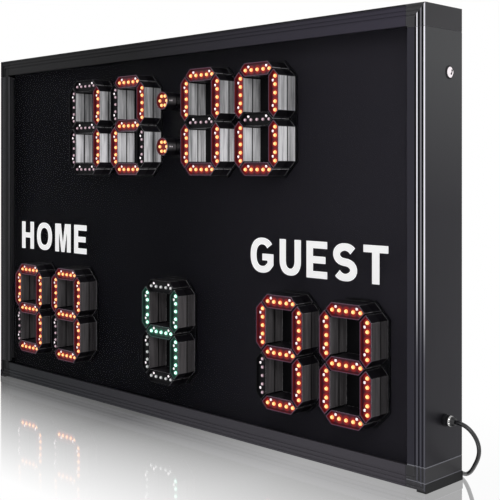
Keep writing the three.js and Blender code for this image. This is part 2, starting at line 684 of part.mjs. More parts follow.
// The key is a wedge with two sloping faces over a round belly, tipped to its off side at rest.
function rockerKey(bezelBack) {
  const { keyHalf, keyRise } = rocker;
  const outline = [[-keyHalf, keyRise], [0, keyRise / 2], [keyHalf, keyRise]];
  for (let i = 0; i <= rocker.arcSteps; i += 1) {
    const angle = i * Math.PI / rocker.arcSteps;
    outline.push([rocker.keyHalf * Math.cos(angle), -rocker.keyDrop * Math.sin(angle)]);
  }
  const key = extruded(polygon(outline), rocker.keyWide).translate(0, 0, -rocker.keyWide / 2);
  const matrix = new THREE.Matrix4().makeBasis(
    new THREE.Vector3(0, 0, 1), new THREE.Vector3(0, 1, 0), new THREE.Vector3(1, 0, 0));
  const placed = moved(key, matrix);
  placed.rotateX(THREE.MathUtils.degToRad(rocker.restTurn));
  return outwardFacing(placed.translate(switchX, bezelBack - middle, switchZ));
}

// Side bolts and cable gland

function buildSideBolts() {
  const { headRadius, headHigh, rimHigh, crownRadius, crownHigh, shankRadius, shankLong, deep } = sideBolt;
  const profile = [
    [-shankLong, 0], [-shankLong, shankRadius], [fit, shankRadius], [fit, headRadius],
    [fit + rimHigh, headRadius], [fit + crownHigh, crownRadius], [fit + headHigh, 0],
  ];
  for (const [word, side] of [['left', -1], ['right', 1]]) {
    const bolt = turnedAlongX(profile, sideBolt.sides, side * sideX, deep, boltHigh, side);
    const nut = sideNutRing(side, sideNut.radius, shankRadius, sideNut.thick, deep, boltHigh);
    add(`side_bolt_${word}`, bolt, finish.nickel);
    add(`side_nut_${word}`, nut, finish.zinc);
  }
}

// A six-sided nut round a shank, against the inner face of a side rail.
function sideNutRing(side, outer, shank, thick, deep, high) {
  const shape = polygon(ring(outer, sideNut.sides), [ring(shank + fit, gland.sides)]);
  const matrix = new THREE.Matrix4().makeBasis(
    new THREE.Vector3(0, 1, 0), new THREE.Vector3(0, 0, 1), new THREE.Vector3(-side, 0, 0));
  matrix.setPosition(side * (sideX - rail.webThick - fit), deep - middle, high);
  return outwardFacing(moved(extruded(shape, thick), matrix));
}

const glandFace = sideX + fit;

function buildGland() {
  const flange = turnedAlongX(
    [[0, 0], [0, gland.flangeRadius], [gland.flangeThick, gland.flangeRadius], [gland.flangeThick, 0]],
    gland.hexSides, glandFace, gland.deep, gland.high);
  const shank = turnedAlongX(
    [[-gland.shankLong, 0], [-gland.shankLong, gland.shankRadius], [fit, gland.shankRadius], [fit, 0]],
    gland.sides, glandFace, gland.deep, gland.high);
  add('gland_body', joined(flange, shank), finish.blackPlastic);
  const domeStart = glandFace + gland.flangeThick + fit;
  const domeEnd = gland.domeLong + gland.noseLong;
  const dome = turnedAlongX([
    [0, 0], [0, gland.domeRadius], [gland.domeLong, gland.domeRadius],
    [gland.domeLong + gland.shoulderLong, gland.shoulderRadius],
    [domeEnd, gland.noseRadius], [domeEnd, 0],
  ], gland.sides, domeStart, gland.deep, gland.high);
  const nut = sideNutRing(1, gland.nutRadius, gland.shankRadius, gland.nutThick, gland.deep, gland.high);
  add('gland_dome', dome, finish.blackPlastic);
  add('gland_lock_nut', nut, finish.blackPlastic);
}

// Mains lead

const coilLow = tie.thick + fit + cord.radius;
const coilHigh = coilLow + coil.layerStep;

// The free stretch, from the gland round the rear edge of the board to the coil, chosen by hand.
const cordPoints = [
  [619.9, 10, 102], [629, 10, 101.2], [637.6, 10.5, 98.4], [645, 11.5, 93.2], [650.6, 13.2, 86.2],
  [653.8, 15.6, 78], [654.6, 18.5, 69], [652.8, 22, 60], [648.8, 26.2, 51.4], [643.2, 31.2, 43],
  [636, 37.2, 34.2], [628.2, 43.8, 25.6], [619.4, 51.2, 17.6], [609.8, 59.2, 11], [599.4, 67.2, 6.4],
  [588, 74.8, 4.3], [575.8, 80.8, 3.9], [563, 84.6, 3.9], [549, 86, 3.9], [527, 84, 3.9],
  [504, 79.5, 3.9], [482, 75.5, 3.9], [460, 73, 4], [438, 72.1, 4.4], [421, 72, 4.4], [406.9, 72, 4.4],
];

function buildCordRun() {
  const path = new THREE.CatmullRomCurve3(cordPoints.map((point) => new THREE.Vector3(...point)));
  const section = polygon(ring(cord.radius, cord.sides));
  const settings = { steps: cord.steps, bevelEnabled: false, extrudePath: path };
  add('cord_run', outwardFacing(plain(new THREE.ExtrudeGeometry(section, settings))), finish.cordJacket);
}

// Middle line of the coil: in on the floor layer, up in half a turn, and out again on the upper layer.
function coilLine() {
  const total = 2 * coil.loops + 0.5;
  const steps = Math.round(total * coil.stepsPerLoop);
  const innerRadius = coil.outerRadius - coil.loops * coil.turnPitch;
  const line = [];
  for (let i = 0; i <= steps; i += 1) {
    const turns = i * total / steps;
    const climb = Math.min(Math.max((turns - coil.loops) * 2, 0), 1);
    const radius = innerRadius + coil.turnPitch * Math.max(coil.loops - turns, turns - coil.loops - 0.5, 0);
    const angle = -Math.PI / 2 - turns * 2 * Math.PI;
    line.push(new THREE.Vector3(coil.x + radius * Math.cos(angle), coil.y + radius * Math.sin(angle),
      coilLow + coil.layerStep * (1 - Math.cos(Math.PI * climb)) / 2));
  }
  const lead = 2 * cord.radius;
  line.unshift(line[0].clone().add(new THREE.Vector3(lead, 0, 0)));
  line.push(line[line.length - 1].clone().add(new THREE.Vector3(lead, 0, 0)));
  return line;
}

// A tube of flat-sided rings along a line of points, with both ends closed.
function tubeAlong(line, radius, sides) {
  const up = new THREE.Vector3(0, 0, 1);
  const positions = [];
  const index = [];
  line.forEach((point, i) => {
    const before = line[Math.max(i - 1, 0)];
    const after = line[Math.min(i + 1, line.length - 1)];
    const forward = after.clone().sub(before).normalize();
    const across = forward.clone().cross(up).normalize();
    const lift = across.clone().cross(forward);
    for (let k = 0; k < sides; k += 1) {
      const angle = (k + 0.5) * 2 * Math.PI / sides;
      const corner = point.clone().addScaledVector(across, radius * Math.cos(angle));
      positions.push(...corner.addScaledVector(lift, radius * Math.sin(angle)).toArray());
    }
  });
  for (let i = 0; i + 1 < line.length; i += 1) {
    for (let k = 0; k < sides; k += 1) {
      const a = i * sides + k;
      const b = i * sides + (k + 1) % sides;
      index.push(a, b, a + sides, b, b + sides, a + sides);
    }
  }
  for (let k = 1; k + 1 < sides; k += 1) {
    const last = (line.length - 1) * sides;
    index.push(0, k + 1, k, last, last + k, last + k + 1);
  }
  const geometry = new THREE.BufferGeometry();
  geometry.setAttribute('position', new THREE.Float32BufferAttribute(positions, 3));
  geometry.setIndex(index);
  return outwardFacing(geometry);
}

// Least gap between stretches of the coil that lie more than half a turn apart.
function leastGap(line) {
  const apart = coil.stepsPerLoop / 2;
  let least = Infinity;
  for (let i = 0; i < line.length; i += 1) {
    for (let k = i + apart; k + 1 < line.length; k += 1) {
      const stretch = new THREE.Line3(line[k], line[k + 1]);
      const nearest = stretch.closestPointToPoint(line[i], true, new THREE.Vector3());
      least = Math.min(least, nearest.distanceTo(line[i]) - 2 * cord.radius);
    }
  }
  return least;
}

function buildCoil() {
  const line = coilLine();
  console.log(`least gap between turns of the coil: ${leastGap(line).toFixed(2)} mm`);
  add('cord_coil', tubeAlong(line, cord.radius, coil.sides), finish.cordJacket);
  const innerRadius = coil.outerRadius - coil.loops * coil.turnPitch;
  const near = coil.x - innerRadius + cord.radius + tie.room;
  const far = coil.x - coil.outerRadius - cord.radius - tie.room;
  const high = coilHigh + cord.radius + tie.room;
  const outside = rectangle(far - tie.thick, near + tie.thick, 0, high + tie.thick);
  const inside = rectangle(far, near, tie.thick, high);
  const depth = coil.y + middle;
  const strap = plate(polygon(outside, [inside]), depth - tie.wide / 2, depth + tie.wide / 2);
  add('cord_tie', strap, finish.rubber);
}

// Moulded mains plug lying beside the coil, its blades pointing away from the lead.
function buildPlug() {
  const x0 = coil.x + 2 * cord.radius + fit;
  const y = coil.y + coil.outerRadius;
  const depth = y + middle;
  const z = coilHigh;
  const bodyStart = x0 + plug.reliefLong;
  const bodyEnd = bodyStart + plug.bodyLong;
  const relief = turnedAlongX([
    [0, 0], [0, plug.reliefEnd], [plug.reliefLong + fit, plug.reliefStart], [plug.reliefLong + fit, 0],
  ], plug.sides, x0, depth, z);
  const half = [plug.bodyWide / 2, plug.bodyHigh / 2];
  const section = polygon([
    [-half[0], plug.bevel - half[1]], [plug.bevel - half[0], -half[1]], [half[0] - plug.bevel, -half[1]],
    [half[0], plug.bevel - half[1]], [half[0], half[1] - plug.bevel], [half[0] - plug.bevel, half[1]],
    [plug.bevel - half[0], half[1]], [-half[0], half[1] - plug.bevel],
  ]);
  const matrix = new THREE.Matrix4().makeBasis(
    new THREE.Vector3(0, 1, 0), new THREE.Vector3(0, 0, 1), new THREE.Vector3(1, 0, 0));
  const body = moved(extruded(section, plug.bodyLong), matrix.setPosition(bodyStart, y, z));
  const blades = [-1, 1].map((side) => {
    const middleDepth = depth + side * plug.bladeGap / 2;
    return block(bodyEnd - fit, bodyEnd + plug.bladeLong, middleDepth - plug.bladeThick / 2,
      middleDepth + plug.bladeThick / 2, z - plug.bladeWide / 2, z + plug.bladeWide / 2);
  });
  const earth = turnedAlongX(
    [[-fit, 0], [-fit, plug.earthRadius], [plug.earthLong, plug.earthRadius], [plug.earthLong, 0]],
    plug.sides, bodyEnd, depth, z + plug.earthOffset);
  add('mains_plug', joined(body, relief, earth, ...blades), finish.blackPlastic);
}

// Inside

// The power supply stands in the middle of the service opening, a little aside and above.
const seat = panelBack + fit;
const supplyX = (doorOpening.x0 + doorOpening.x1) / 2 - supply.aside;
const supplyZ = (doorOpening.z0 + doorOpening.z1) / 2 + supply.above;

function buildPowerSupply() {
  const foldWide = supply.wide + 2 * supply.foldWide;
  const folds = centredBlock(supplyX, supplyZ, foldWide, supply.high, seat, seat + supply.foldThick);
  const box = centredBlock(supplyX, supplyZ, supply.wide, supply.high, seat, seat + supply.deep);
  add('power_supply', joined(box, folds), finish.zinc);
}

// The controller stands beside the power supply on posts, with the radio receiver above it.
const supplySide = supplyX - supply.wide / 2 - supply.foldWide;
const controllerX = supplySide - controller.fromSupply - controller.wide / 2;
const controllerZ = (doorOpening.z0 + doorOpening.z1) / 2;

function buildController() {
  const { chipWide, postWide } = controller;
  const cardFront = seat + controller.postLong;
  const cardBack = cardFront + controller.thick;
  const chipBack = cardBack + controller.chipHigh;
  const card = centredBlock(controllerX, controllerZ, controller.wide, controller.high, cardFront, cardBack);
  const chips = [-1, 1].map((side) => centredBlock(
    controllerX + side * chipWide, controllerZ, chipWide, chipWide, cardFront + fit, chipBack));
  const posts = [-1, 1].flatMap((side) => [-1, 1].map((up) => centredBlock(
    controllerX + side * (controller.wide / 2 - controller.postInset),
    controllerZ + up * (controller.high / 2 - controller.postInset),
    postWide, postWide, seat, cardFront + fit)));
  add('controller_board', joined(card, ...chips, ...posts), finish.circuit);
}

function buildReceiver() {
  const { wide, high, deep, aerialThick, aerialLong } = receiver;
  const z = controllerZ + controller.high / 2 + receiver.above + high / 2;
  const radio = centredBlock(controllerX, z, wide, high, seat, seat + deep);
  const aerialZ = z + (high + aerialLong) / 2 - fit;
  const aerialFront = seat + (deep - aerialThick) / 2;
  const aerialBack = aerialFront + aerialThick;
  const aerial = centredBlock(controllerX, aerialZ, aerialThick, aerialLong, aerialFront, aerialBack);
  add('radio_receiver', joined(radio, aerial), finish.blackPlastic);
}

function buildTerminals() {
  const { wide, high, deep, notchHigh, notchDeep, wayCount } = terminal;
  const x = sideX - terminal.fromSide;
  const back = seat + deep;
  const base = centredBlock(x, gland.high, wide, high, seat, back);
  const notches = Array.from({ length: wayCount }, (_, i) => {
    const z = gland.high + (i - (wayCount - 1) / 2) * high / wayCount;
    return centredBlock(x, z, wide / 2, notchHigh, back - notchDeep, back + overrun);
  });
  add('mains_terminals', cut(base, ...notches), finish.blackPlastic);

  const leadStart = glandFace - gland.shankLong - fit;
  const leadLong = x + wide / 2 + fit - leadStart;
  const profile = [[leadLong, 0], [leadLong, cord.radius], [0, cord.radius], [0, 0]];
  const lead = turnedAlongX(profile, cord.sides, leadStart, gland.deep, gland.high);
  add('inner_lead', lead, finish.cordJacket);
}

buildRails();
buildCorners();
buildFeet();
buildFrontSheet();
buildInnerPanel();
buildDigits();
buildColon();
buildRearPanel();
buildHangers();
buildDoor();
buildLatch();
buildSwitch();
buildSideBolts();
buildGland();
buildCordRun();
buildCoil();
buildPlug();
buildPowerSupply();
buildController();
buildReceiver();
buildTerminals();

export default group;
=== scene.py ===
import math
import bmesh
import bpy
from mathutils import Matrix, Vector


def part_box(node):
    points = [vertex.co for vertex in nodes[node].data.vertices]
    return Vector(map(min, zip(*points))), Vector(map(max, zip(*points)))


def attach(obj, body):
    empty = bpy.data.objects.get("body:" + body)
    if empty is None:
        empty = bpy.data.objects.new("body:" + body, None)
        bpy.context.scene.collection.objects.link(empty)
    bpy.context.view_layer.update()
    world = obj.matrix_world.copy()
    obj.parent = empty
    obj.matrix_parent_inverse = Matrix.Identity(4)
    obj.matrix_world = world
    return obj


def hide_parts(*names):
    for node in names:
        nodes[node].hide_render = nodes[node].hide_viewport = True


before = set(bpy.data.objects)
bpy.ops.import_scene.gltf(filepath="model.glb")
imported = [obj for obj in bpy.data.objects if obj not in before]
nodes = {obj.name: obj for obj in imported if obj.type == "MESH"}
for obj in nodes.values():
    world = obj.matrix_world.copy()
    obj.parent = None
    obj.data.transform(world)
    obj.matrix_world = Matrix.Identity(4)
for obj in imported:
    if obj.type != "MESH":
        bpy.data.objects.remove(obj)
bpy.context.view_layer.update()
print("frame loaded:", len(nodes), "nodes")

# camera at the photograph's place, right of the board and a little above its middle
cameraSetup = {
    "place": (1.4558, -1.2766, 0.4889), "turn": (90.0, 0.0, 44.82),
    "lens": 70.92, "sensor": 36.0, "shiftY": -0.1628,
}


def makeCamera(setup):
    data = bpy.data.cameras.new("camera")
    data.lens = setup["lens"]
    data.sensor_width = setup["sensor"]
    data.shift_y = setup["shiftY"]
    camera = bpy.data.objects.new("camera", data)
    camera.location = setup["place"]
    camera.rotation_euler = [math.radians(a) for a in setup["turn"]]
    bpy.context.collection.objects.link(camera)
    bpy.context.scene.camera = camera


makeCamera(cameraSetup)

# mains lead: out of the gland, round the rear edge to the coil on the floor behind the board
mainsLead = {
    "radius": 0.0033, "coilX": 0.400, "coilY": 0.118, "loops": 2, "outerRadius": 0.046,
    "turnPitch": 0.0084, "layerStep": 0.0077, "lift": 0.0011, "stepsPerTurn": 48, "stepsPerReach": 6,
    "leadIn": 0.0066, "sides": 14,
}
freePoints = [
    (0.6199, 0.0100, 0.1020), (0.6290, 0.0100, 0.1012), (0.6376, 0.0105, 0.0984), (0.6450, 0.0115, 0.0932),
    (0.6506, 0.0132, 0.0862), (0.6538, 0.0156, 0.0780), (0.6546, 0.0185, 0.0690), (0.6528, 0.0220, 0.0600),
    (0.6488, 0.0262, 0.0514), (0.6432, 0.0312, 0.0430), (0.6360, 0.0372, 0.0342), (0.6282, 0.0438, 0.0256),
    (0.6194, 0.0512, 0.0176), (0.6098, 0.0592, 0.0110), (0.5994, 0.0672, 0.0064), (0.5880, 0.0748, 0.0043),
    (0.5758, 0.0808, 0.0039), (0.5630, 0.0846, 0.0039), (0.5490, 0.0860, 0.0039), (0.5270, 0.0840, 0.0039),
    (0.5040, 0.0795, 0.0039), (0.4820, 0.0755, 0.0039), (0.4600, 0.0730, 0.0040), (0.4380, 0.0721, 0.0044),
    (0.4210, 0.0720, 0.0044), (0.4069, 0.0720, 0.0044),
]


def smoothRoute(points, steps):
    # centripetal curve through the points
    vectors = [Vector(p) for p in points]
    vectors = [2 * vectors[0] - vectors[1], *vectors, 2 * vectors[-1] - vectors[-2]]
    route = []
    for a, b, c, d in zip(vectors, vectors[1:], vectors[2:], vectors[3:]):
        gapA, gapB, gapC = [math.sqrt((q - p).length) for p, q in ((a, b), (b, c), (c, d))]
        startPull = ((b - a) / gapA - (c - a) / (gapA + gapB) + (c - b) / gapB) * gapB
        endPull = ((c - b) / gapB - (d - b) / (gapB + gapC) + (d - c) / gapC) * gapB
        for i in range(steps):
            t = i / steps
            route.append(
                b * (2 * t ** 3 - 3 * t ** 2 + 1) + startPull * (t ** 3 - 2 * t ** 2 + t)
                + c * (3 * t ** 2 - 2 * t ** 3) + endPull * (t ** 3 - t ** 2))
    return route + [vectors[-2]]


def coilTurns(lead):
    # in on the floor layer, up in half a turn, and out again on the upper layer
    total = 2 * lead["loops"] + 0.5
    steps = round(total * lead["stepsPerTurn"])
    innerRadius = lead["outerRadius"] - lead["loops"] * lead["turnPitch"]
    low = lead["lift"] + lead["radius"]
    turns = []
    for i in range(steps + 1):
        turn = i * total / steps
        climb = min(max((turn - lead["loops"]) * 2, 0), 1)
        outward = max(lead["loops"] - turn, turn - lead["loops"] - 0.5, 0)
        radius = innerRadius + lead["turnPitch"] * outward
        angle = -math.pi / 2 - turn * 2 * math.pi
        turns.append(Vector((
            lead["coilX"] + radius * math.cos(angle), lead["coilY"] + radius * math.sin(angle),
            low + lead["layerStep"] * (1 - math.cos(math.pi * climb)) / 2)))
    return turns + [turns[-1] + Vector((lead["leadIn"], 0, 0))]


def routeLength(route):
    return sum((b - a).length for a, b in zip(route, route[1:]))


def sweepRings(mesh, rings, closed=True, slots=None, caps=(False, False)):
    # joins rings of points with quads; slots gives each band's material number
    loops = [[mesh.verts.new(point) for point in ring] for ring in rings]
    pairs = list(zip(loops, loops[1:] + loops[:1])) if closed else list(zip(loops, loops[1:]))
    made = []
    for band, (near, far) in enumerate(pairs):
        for k in range(len(near)):
            after = (k + 1) % len(near)
            face = mesh.faces.new((near[k], near[after], far[after], far[k]))
            face.material_index = slots[band] if slots else 0
            made.append(face)
    for wanted, loop, band in ((caps[0], loops[0], 0), (caps[1], loops[-1], -1)):
        if wanted:
            face = mesh.faces.new(loop)
            face.material_index = slots[band] if slots else 0
            made.append(face)
    return made


def tubeRings(route, radius, sides):
    # rings square to the route, each turned as little as possible from the one before
    rings = []
    side = Vector((0, 0, 1))
    for i, place in enumerate(route):
        forward = (route[min(i + 1, len(route) - 1)] - route[max(i - 1, 0)]).normalized()
        side = (side - forward * side.dot(forward)).normalized()
        up = forward.cross(side)
        turns = [2 * math.pi * k / sides for k in range(sides)]
        rings.append([place + (side * math.cos(a) + up * math.sin(a)) * radius for a in turns])
    return rings


def makeLead(lead):
    route = smoothRoute(freePoints, lead["stepsPerReach"]) + coilTurns(lead)
    mesh = bmesh.new()
    sweepRings(mesh, tubeRings(route, lead["radius"], lead["sides"]), closed=False, caps=(True, True))
    bmesh.ops.recalc_face_normals(mesh, faces=mesh.faces)
    for face in mesh.faces:
        face.smooth = len(face.verts) == 4
    data = bpy.data.meshes.new("mains_lead")
    mesh.to_mesh(data)
    mesh.free()
    piece = bpy.data.objects.new("mains_lead", data)
    bpy.context.collection.objects.link(piece)
    return piece, route


leadPiece, leadRoute = makeLead(mainsLead)
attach(leadPiece, "board")
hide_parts("cord_run", "cord_coil")
print("lead made:", round(routeLength(leadRoute), 3), "m")


# shared effects, as node groups

def newGroup(name, inputs, outputs):
    group = bpy.data.node_groups.new(name, "ShaderNodeTree")
    for label, kind, value in inputs:
        socket = group.interface.new_socket(label, in_out="INPUT", socket_type=kind)
        socket.default_value = value
    for label, kind in outputs:
        group.interface.new_socket(label, in_out="OUTPUT", socket_type=kind)
    start = group.nodes.new("NodeGroupInput")
    end = group.nodes.new("NodeGroupOutput")
    return group, start.outputs, end.inputs


def fillSockets(tree, node, **sockets):
    # by name with _ for a space, or by input number as i0, i1
    for key, value in sockets.items():
        numbered = key[0] == "i" and key[1:].isdigit()
        socket = node.inputs[int(key[1:]) if numbered else key.replace("_", " ")]
        if isinstance(value, bpy.types.NodeSocket):
            tree.links.new(value, socket)
        else:
            socket.default_value = value


def addNode(tree, kind, settings=None, **sockets):
    node = tree.nodes.new(kind)
    for key, value in (settings or {}).items():
        setattr(node, key, value)
    fillSockets(tree, node, **sockets)
    return node


def mathNode(tree, operation, a, b=0.0, clamp=False):
    settings = {"operation": operation, "use_clamp": clamp}
    return addNode(tree, "ShaderNodeMath", settings, i0=a, i1=b).outputs[0]


def product(tree, first, *others, clamp=False):
    for other in others[:-1]:
        first = mathNode(tree, "MULTIPLY", first, other)
    return mathNode(tree, "MULTIPLY", first, others[-1], clamp)


def aboveLevel(tree, value, level, gain, clamp=False):
    # how far a value is above a level, times a gain
    return product(tree, mathNode(tree, "SUBTRACT", value, level), gain, clamp=clamp)


def awayFrom(tree, value, level):
    return mathNode(tree, "ABSOLUTE", mathNode(tree, "SUBTRACT", value, level))


def rampNode(tree, value, start, end, low=0.0, high=1.0, kind="LINEAR"):
    return addNode(tree, "ShaderNodeMapRange", {"interpolation_type": kind}, Value=value, From_Min=start,
                   From_Max=end, To_Min=low, To_Max=high).outputs[0]


def noiseNode(tree, place, scale, detail, roughness=0.5):
    node = addNode(tree, "ShaderNodeTexNoise", Vector=place, Scale=scale, Detail=detail, Roughness=roughness)
    return node.outputs[0]


def stretched(tree, place, by):
    return addNode(tree, "ShaderNodeVectorMath", {"operation": "MULTIPLY"}, i0=place, i1=by).outputs[0]


def splitNode(tree, vector):
    return addNode(tree, "ShaderNodeSeparateXYZ", Vector=vector).outputs


def objectPlace(tree):
    return addNode(tree, "ShaderNodeTexCoord").outputs["Object"]


def mixColour(tree, amount, first, second):
    node = addNode(tree, "ShaderNodeMix", {"data_type": "RGBA"}, i0=amount, i6=first, i7=second)
    return node.outputs[2]


def brightened(tree, colour, value):
    return addNode(tree, "ShaderNodeHueSaturation", Color=colour, Value=value).outputs[0]


def bumpNode(tree, height, strength, depth):
    return addNode(tree, "ShaderNodeBump", Strength=strength, Distance=depth, Height=height).outputs[0]


def trueNormal(tree):
    return splitNode(tree, addNode(tree, "ShaderNodeNewGeometry").outputs["True Normal"])


grainLook = {"detail": 3.0, "roughness": 0.55, "toneDetail": 2.0}


def makeGrainGroup(look):
    # fine surface grain and slow tone change, stretched where the tool or the die drew it out
    inputs = [("Scale", "NodeSocketFloat", 900.0), ("Stretch", "NodeSocketVector", (1.0, 1.0, 1.0)),
              ("Tone Scale", "NodeSocketFloat", 9.0)]
    outputs = [("Height", "NodeSocketFloat"), ("Tone", "NodeSocketFloat")]
    group, given, out = newGroup("Drawn grain", inputs, outputs)
    place = objectPlace(group)
    drawn = stretched(group, place, given["Stretch"])
    group.links.new(noiseNode(group, drawn, given["Scale"], look["detail"], look["roughness"]), out["Height"])
    group.links.new(noiseNode(group, place, given["Tone Scale"], look["toneDetail"]), out["Tone"])
    return group


edgeLook = {
    "samples": 4, "gain": 6.0, "patchScale": 160.0, "patchDetail": 2.0, "patchFrom": 0.25, "patchGain": 1.6,
}


def makeEdgeWearAndHighlightGroup(look):
    # edge mask for rubbed edges and for painted edge highlights: where the rounded normal leaves the true one
    inputs = [("Radius", "NodeSocketFloat", 0.0008), ("Amount", "NodeSocketFloat", 1.0)]
    group, given, out = newGroup("Edge wear and highlights", inputs, [("Mask", "NodeSocketFloat")])
    rounded = addNode(group, "ShaderNodeBevel", {"samples": look["samples"]}, Radius=given["Radius"])
    true = addNode(group, "ShaderNodeNewGeometry")
    same = addNode(group, "ShaderNodeVectorMath", {"operation": "DOT_PRODUCT"}, i0=rounded.outputs[0],
                   i1=true.outputs["Normal"]).outputs["Value"]
    apart = product(group, mathNode(group, "SUBTRACT", 1.0, same), look["gain"], clamp=True)
    broken = noiseNode(group, objectPlace(group), look["patchScale"], look["patchDetail"])
    patch = aboveLevel(group, broken, look["patchFrom"], look["patchGain"], clamp=True)
    group.links.new(product(group, apart, patch, given["Amount"], clamp=True), out["Mask"])
    return group


dustLook = {"upFrom": 0.6, "upGain": 2.5, "cloudScale": 35.0, "cloudDetail": 4.0}


def makeDustGroup(look):
    # thin dust on what faces up
    inputs = [("Amount", "NodeSocketFloat", 0.2)]
    group, given, out = newGroup("Settled dust", inputs, [("Mask", "NodeSocketFloat")])
    up = splitNode(group, addNode(group, "ShaderNodeNewGeometry").outputs["Normal"])["Z"]
    level = aboveLevel(group, up, look["upFrom"], look["upGain"], clamp=True)
    cloud = noiseNode(group, objectPlace(group), look["cloudScale"], look["cloudDetail"])
    group.links.new(product(group, level, cloud, given["Amount"], clamp=True), out["Mask"])
    return group


# painted highlights on the right-hand upright's three ridges: the middle one dull, all duller towards the
# floor, and painted shade in the grooves between them
ridgeHighlightTones = {
    "dull": (0.06, 0.06, 0.076, 1), "bright": (0.95, 0.94, 1.0, 1), "groove": (0.002, 0.002, 0.003, 1),
    "inner": 0.5802, "pitch": 0.0066, "crestAt": 0.742, "crestFull": 0.15, "crestEnd": 0.24,
    "depth": 0.0007, "lowEnd": 0.185, "highEnd": 0.37, "lowShade": 0.04, "edge": 0.6, "top": 0.74,
    "foot": 0.0, "middle": 1.4, "middleFull": 0.5, "middleEnd": 0.6, "middleShade": 0.16,
}


def makeRidgeHighlightGroup(look):
    outputs = [(label, "NodeSocketFloat") for label in ("Mask", "Shade", "Painted Groove Shade")]
    group, given, out = newGroup("Painted ridge highlights", [("Front", "NodeSocketFloat", 0.0)], outputs)
    x, y, z = splitNode(group, objectPlace(group))
    depth = mathNode(group, "SUBTRACT", y, given["Front"])
    outermost = mathNode(group, "LESS_THAN", depth, look["depth"])
    ridges = mathNode(group, "GREATER_THAN", x, look["inner"])
    # the upright ends at a mitre at its top and its foot
    fromSide = mathNode(group, "SUBTRACT", look["edge"], x)
    underTop = mathNode(group, "GREATER_THAN", mathNode(group, "SUBTRACT", look["top"], z), fromSide)
    overFoot = mathNode(group, "GREATER_THAN", mathNode(group, "SUBTRACT", z, look["foot"]), fromSide)
    zone = product(group, ridges, product(group, underTop, overFoot))
    # 0 to 3 across the ridges, each crest late in its own third
    across = mathNode(group, "DIVIDE", mathNode(group, "SUBTRACT", x, look["inner"]), look["pitch"])
    fromCrest = awayFrom(group, mathNode(group, "FRACT", across), look["crestAt"])
    ridgeHighlight = rampNode(group, fromCrest, look["crestFull"], look["crestEnd"], 1.0, 0.0)
    group.links.new(product(group, outermost, zone, ridgeHighlight), out["Mask"])
    fromMiddle = awayFrom(group, across, look["middle"])
    outer = rampNode(group, fromMiddle, look["middleFull"], look["middleEnd"], look["middleShade"])
    height = rampNode(group, z, look["lowEnd"], look["highEnd"], look["lowShade"], kind="SMOOTHSTEP")
    group.links.new(product(group, outer, height), out["Shade"])
    # painted shade: the grooves between the ridges are black where the ridge highlights are bright
    front = mathNode(group, "LESS_THAN", depth, 2 * look["depth"])
    within = mathNode(group, "LESS_THAN", x, look["edge"] - look["depth"])
    group.links.new(product(group, front, zone, within, height), out["Painted Groove Shade"])
    return group


grainGroup = makeGrainGroup(grainLook)
edgeWearAndHighlightGroup = makeEdgeWearAndHighlightGroup(edgeLook)
dustGroup = makeDustGroup(dustLook)
ridgeHighlightGroup = makeRidgeHighlightGroup(ridgeHighlightTones)


def placeGroup(tree, group, **sockets):
    return addNode(tree, "ShaderNodeGroup", {"node_tree": group}, **sockets).outputs


def emptyMaterial(name):
    material = bpy.data.materials.new(name)
    material.use_nodes = True
    material.node_tree.nodes.clear()
    return material, material.node_tree


def newMaterial(name):
    material, tree = emptyMaterial(name)
    surface = tree.nodes.new("ShaderNodeBsdfPrincipled")
    output = tree.nodes.new("ShaderNodeOutputMaterial")
    tree.links.new(surface.outputs[0], output.inputs[0])
    return material, tree, surface


def grey(value):
    return (value, value, value, 1.0)


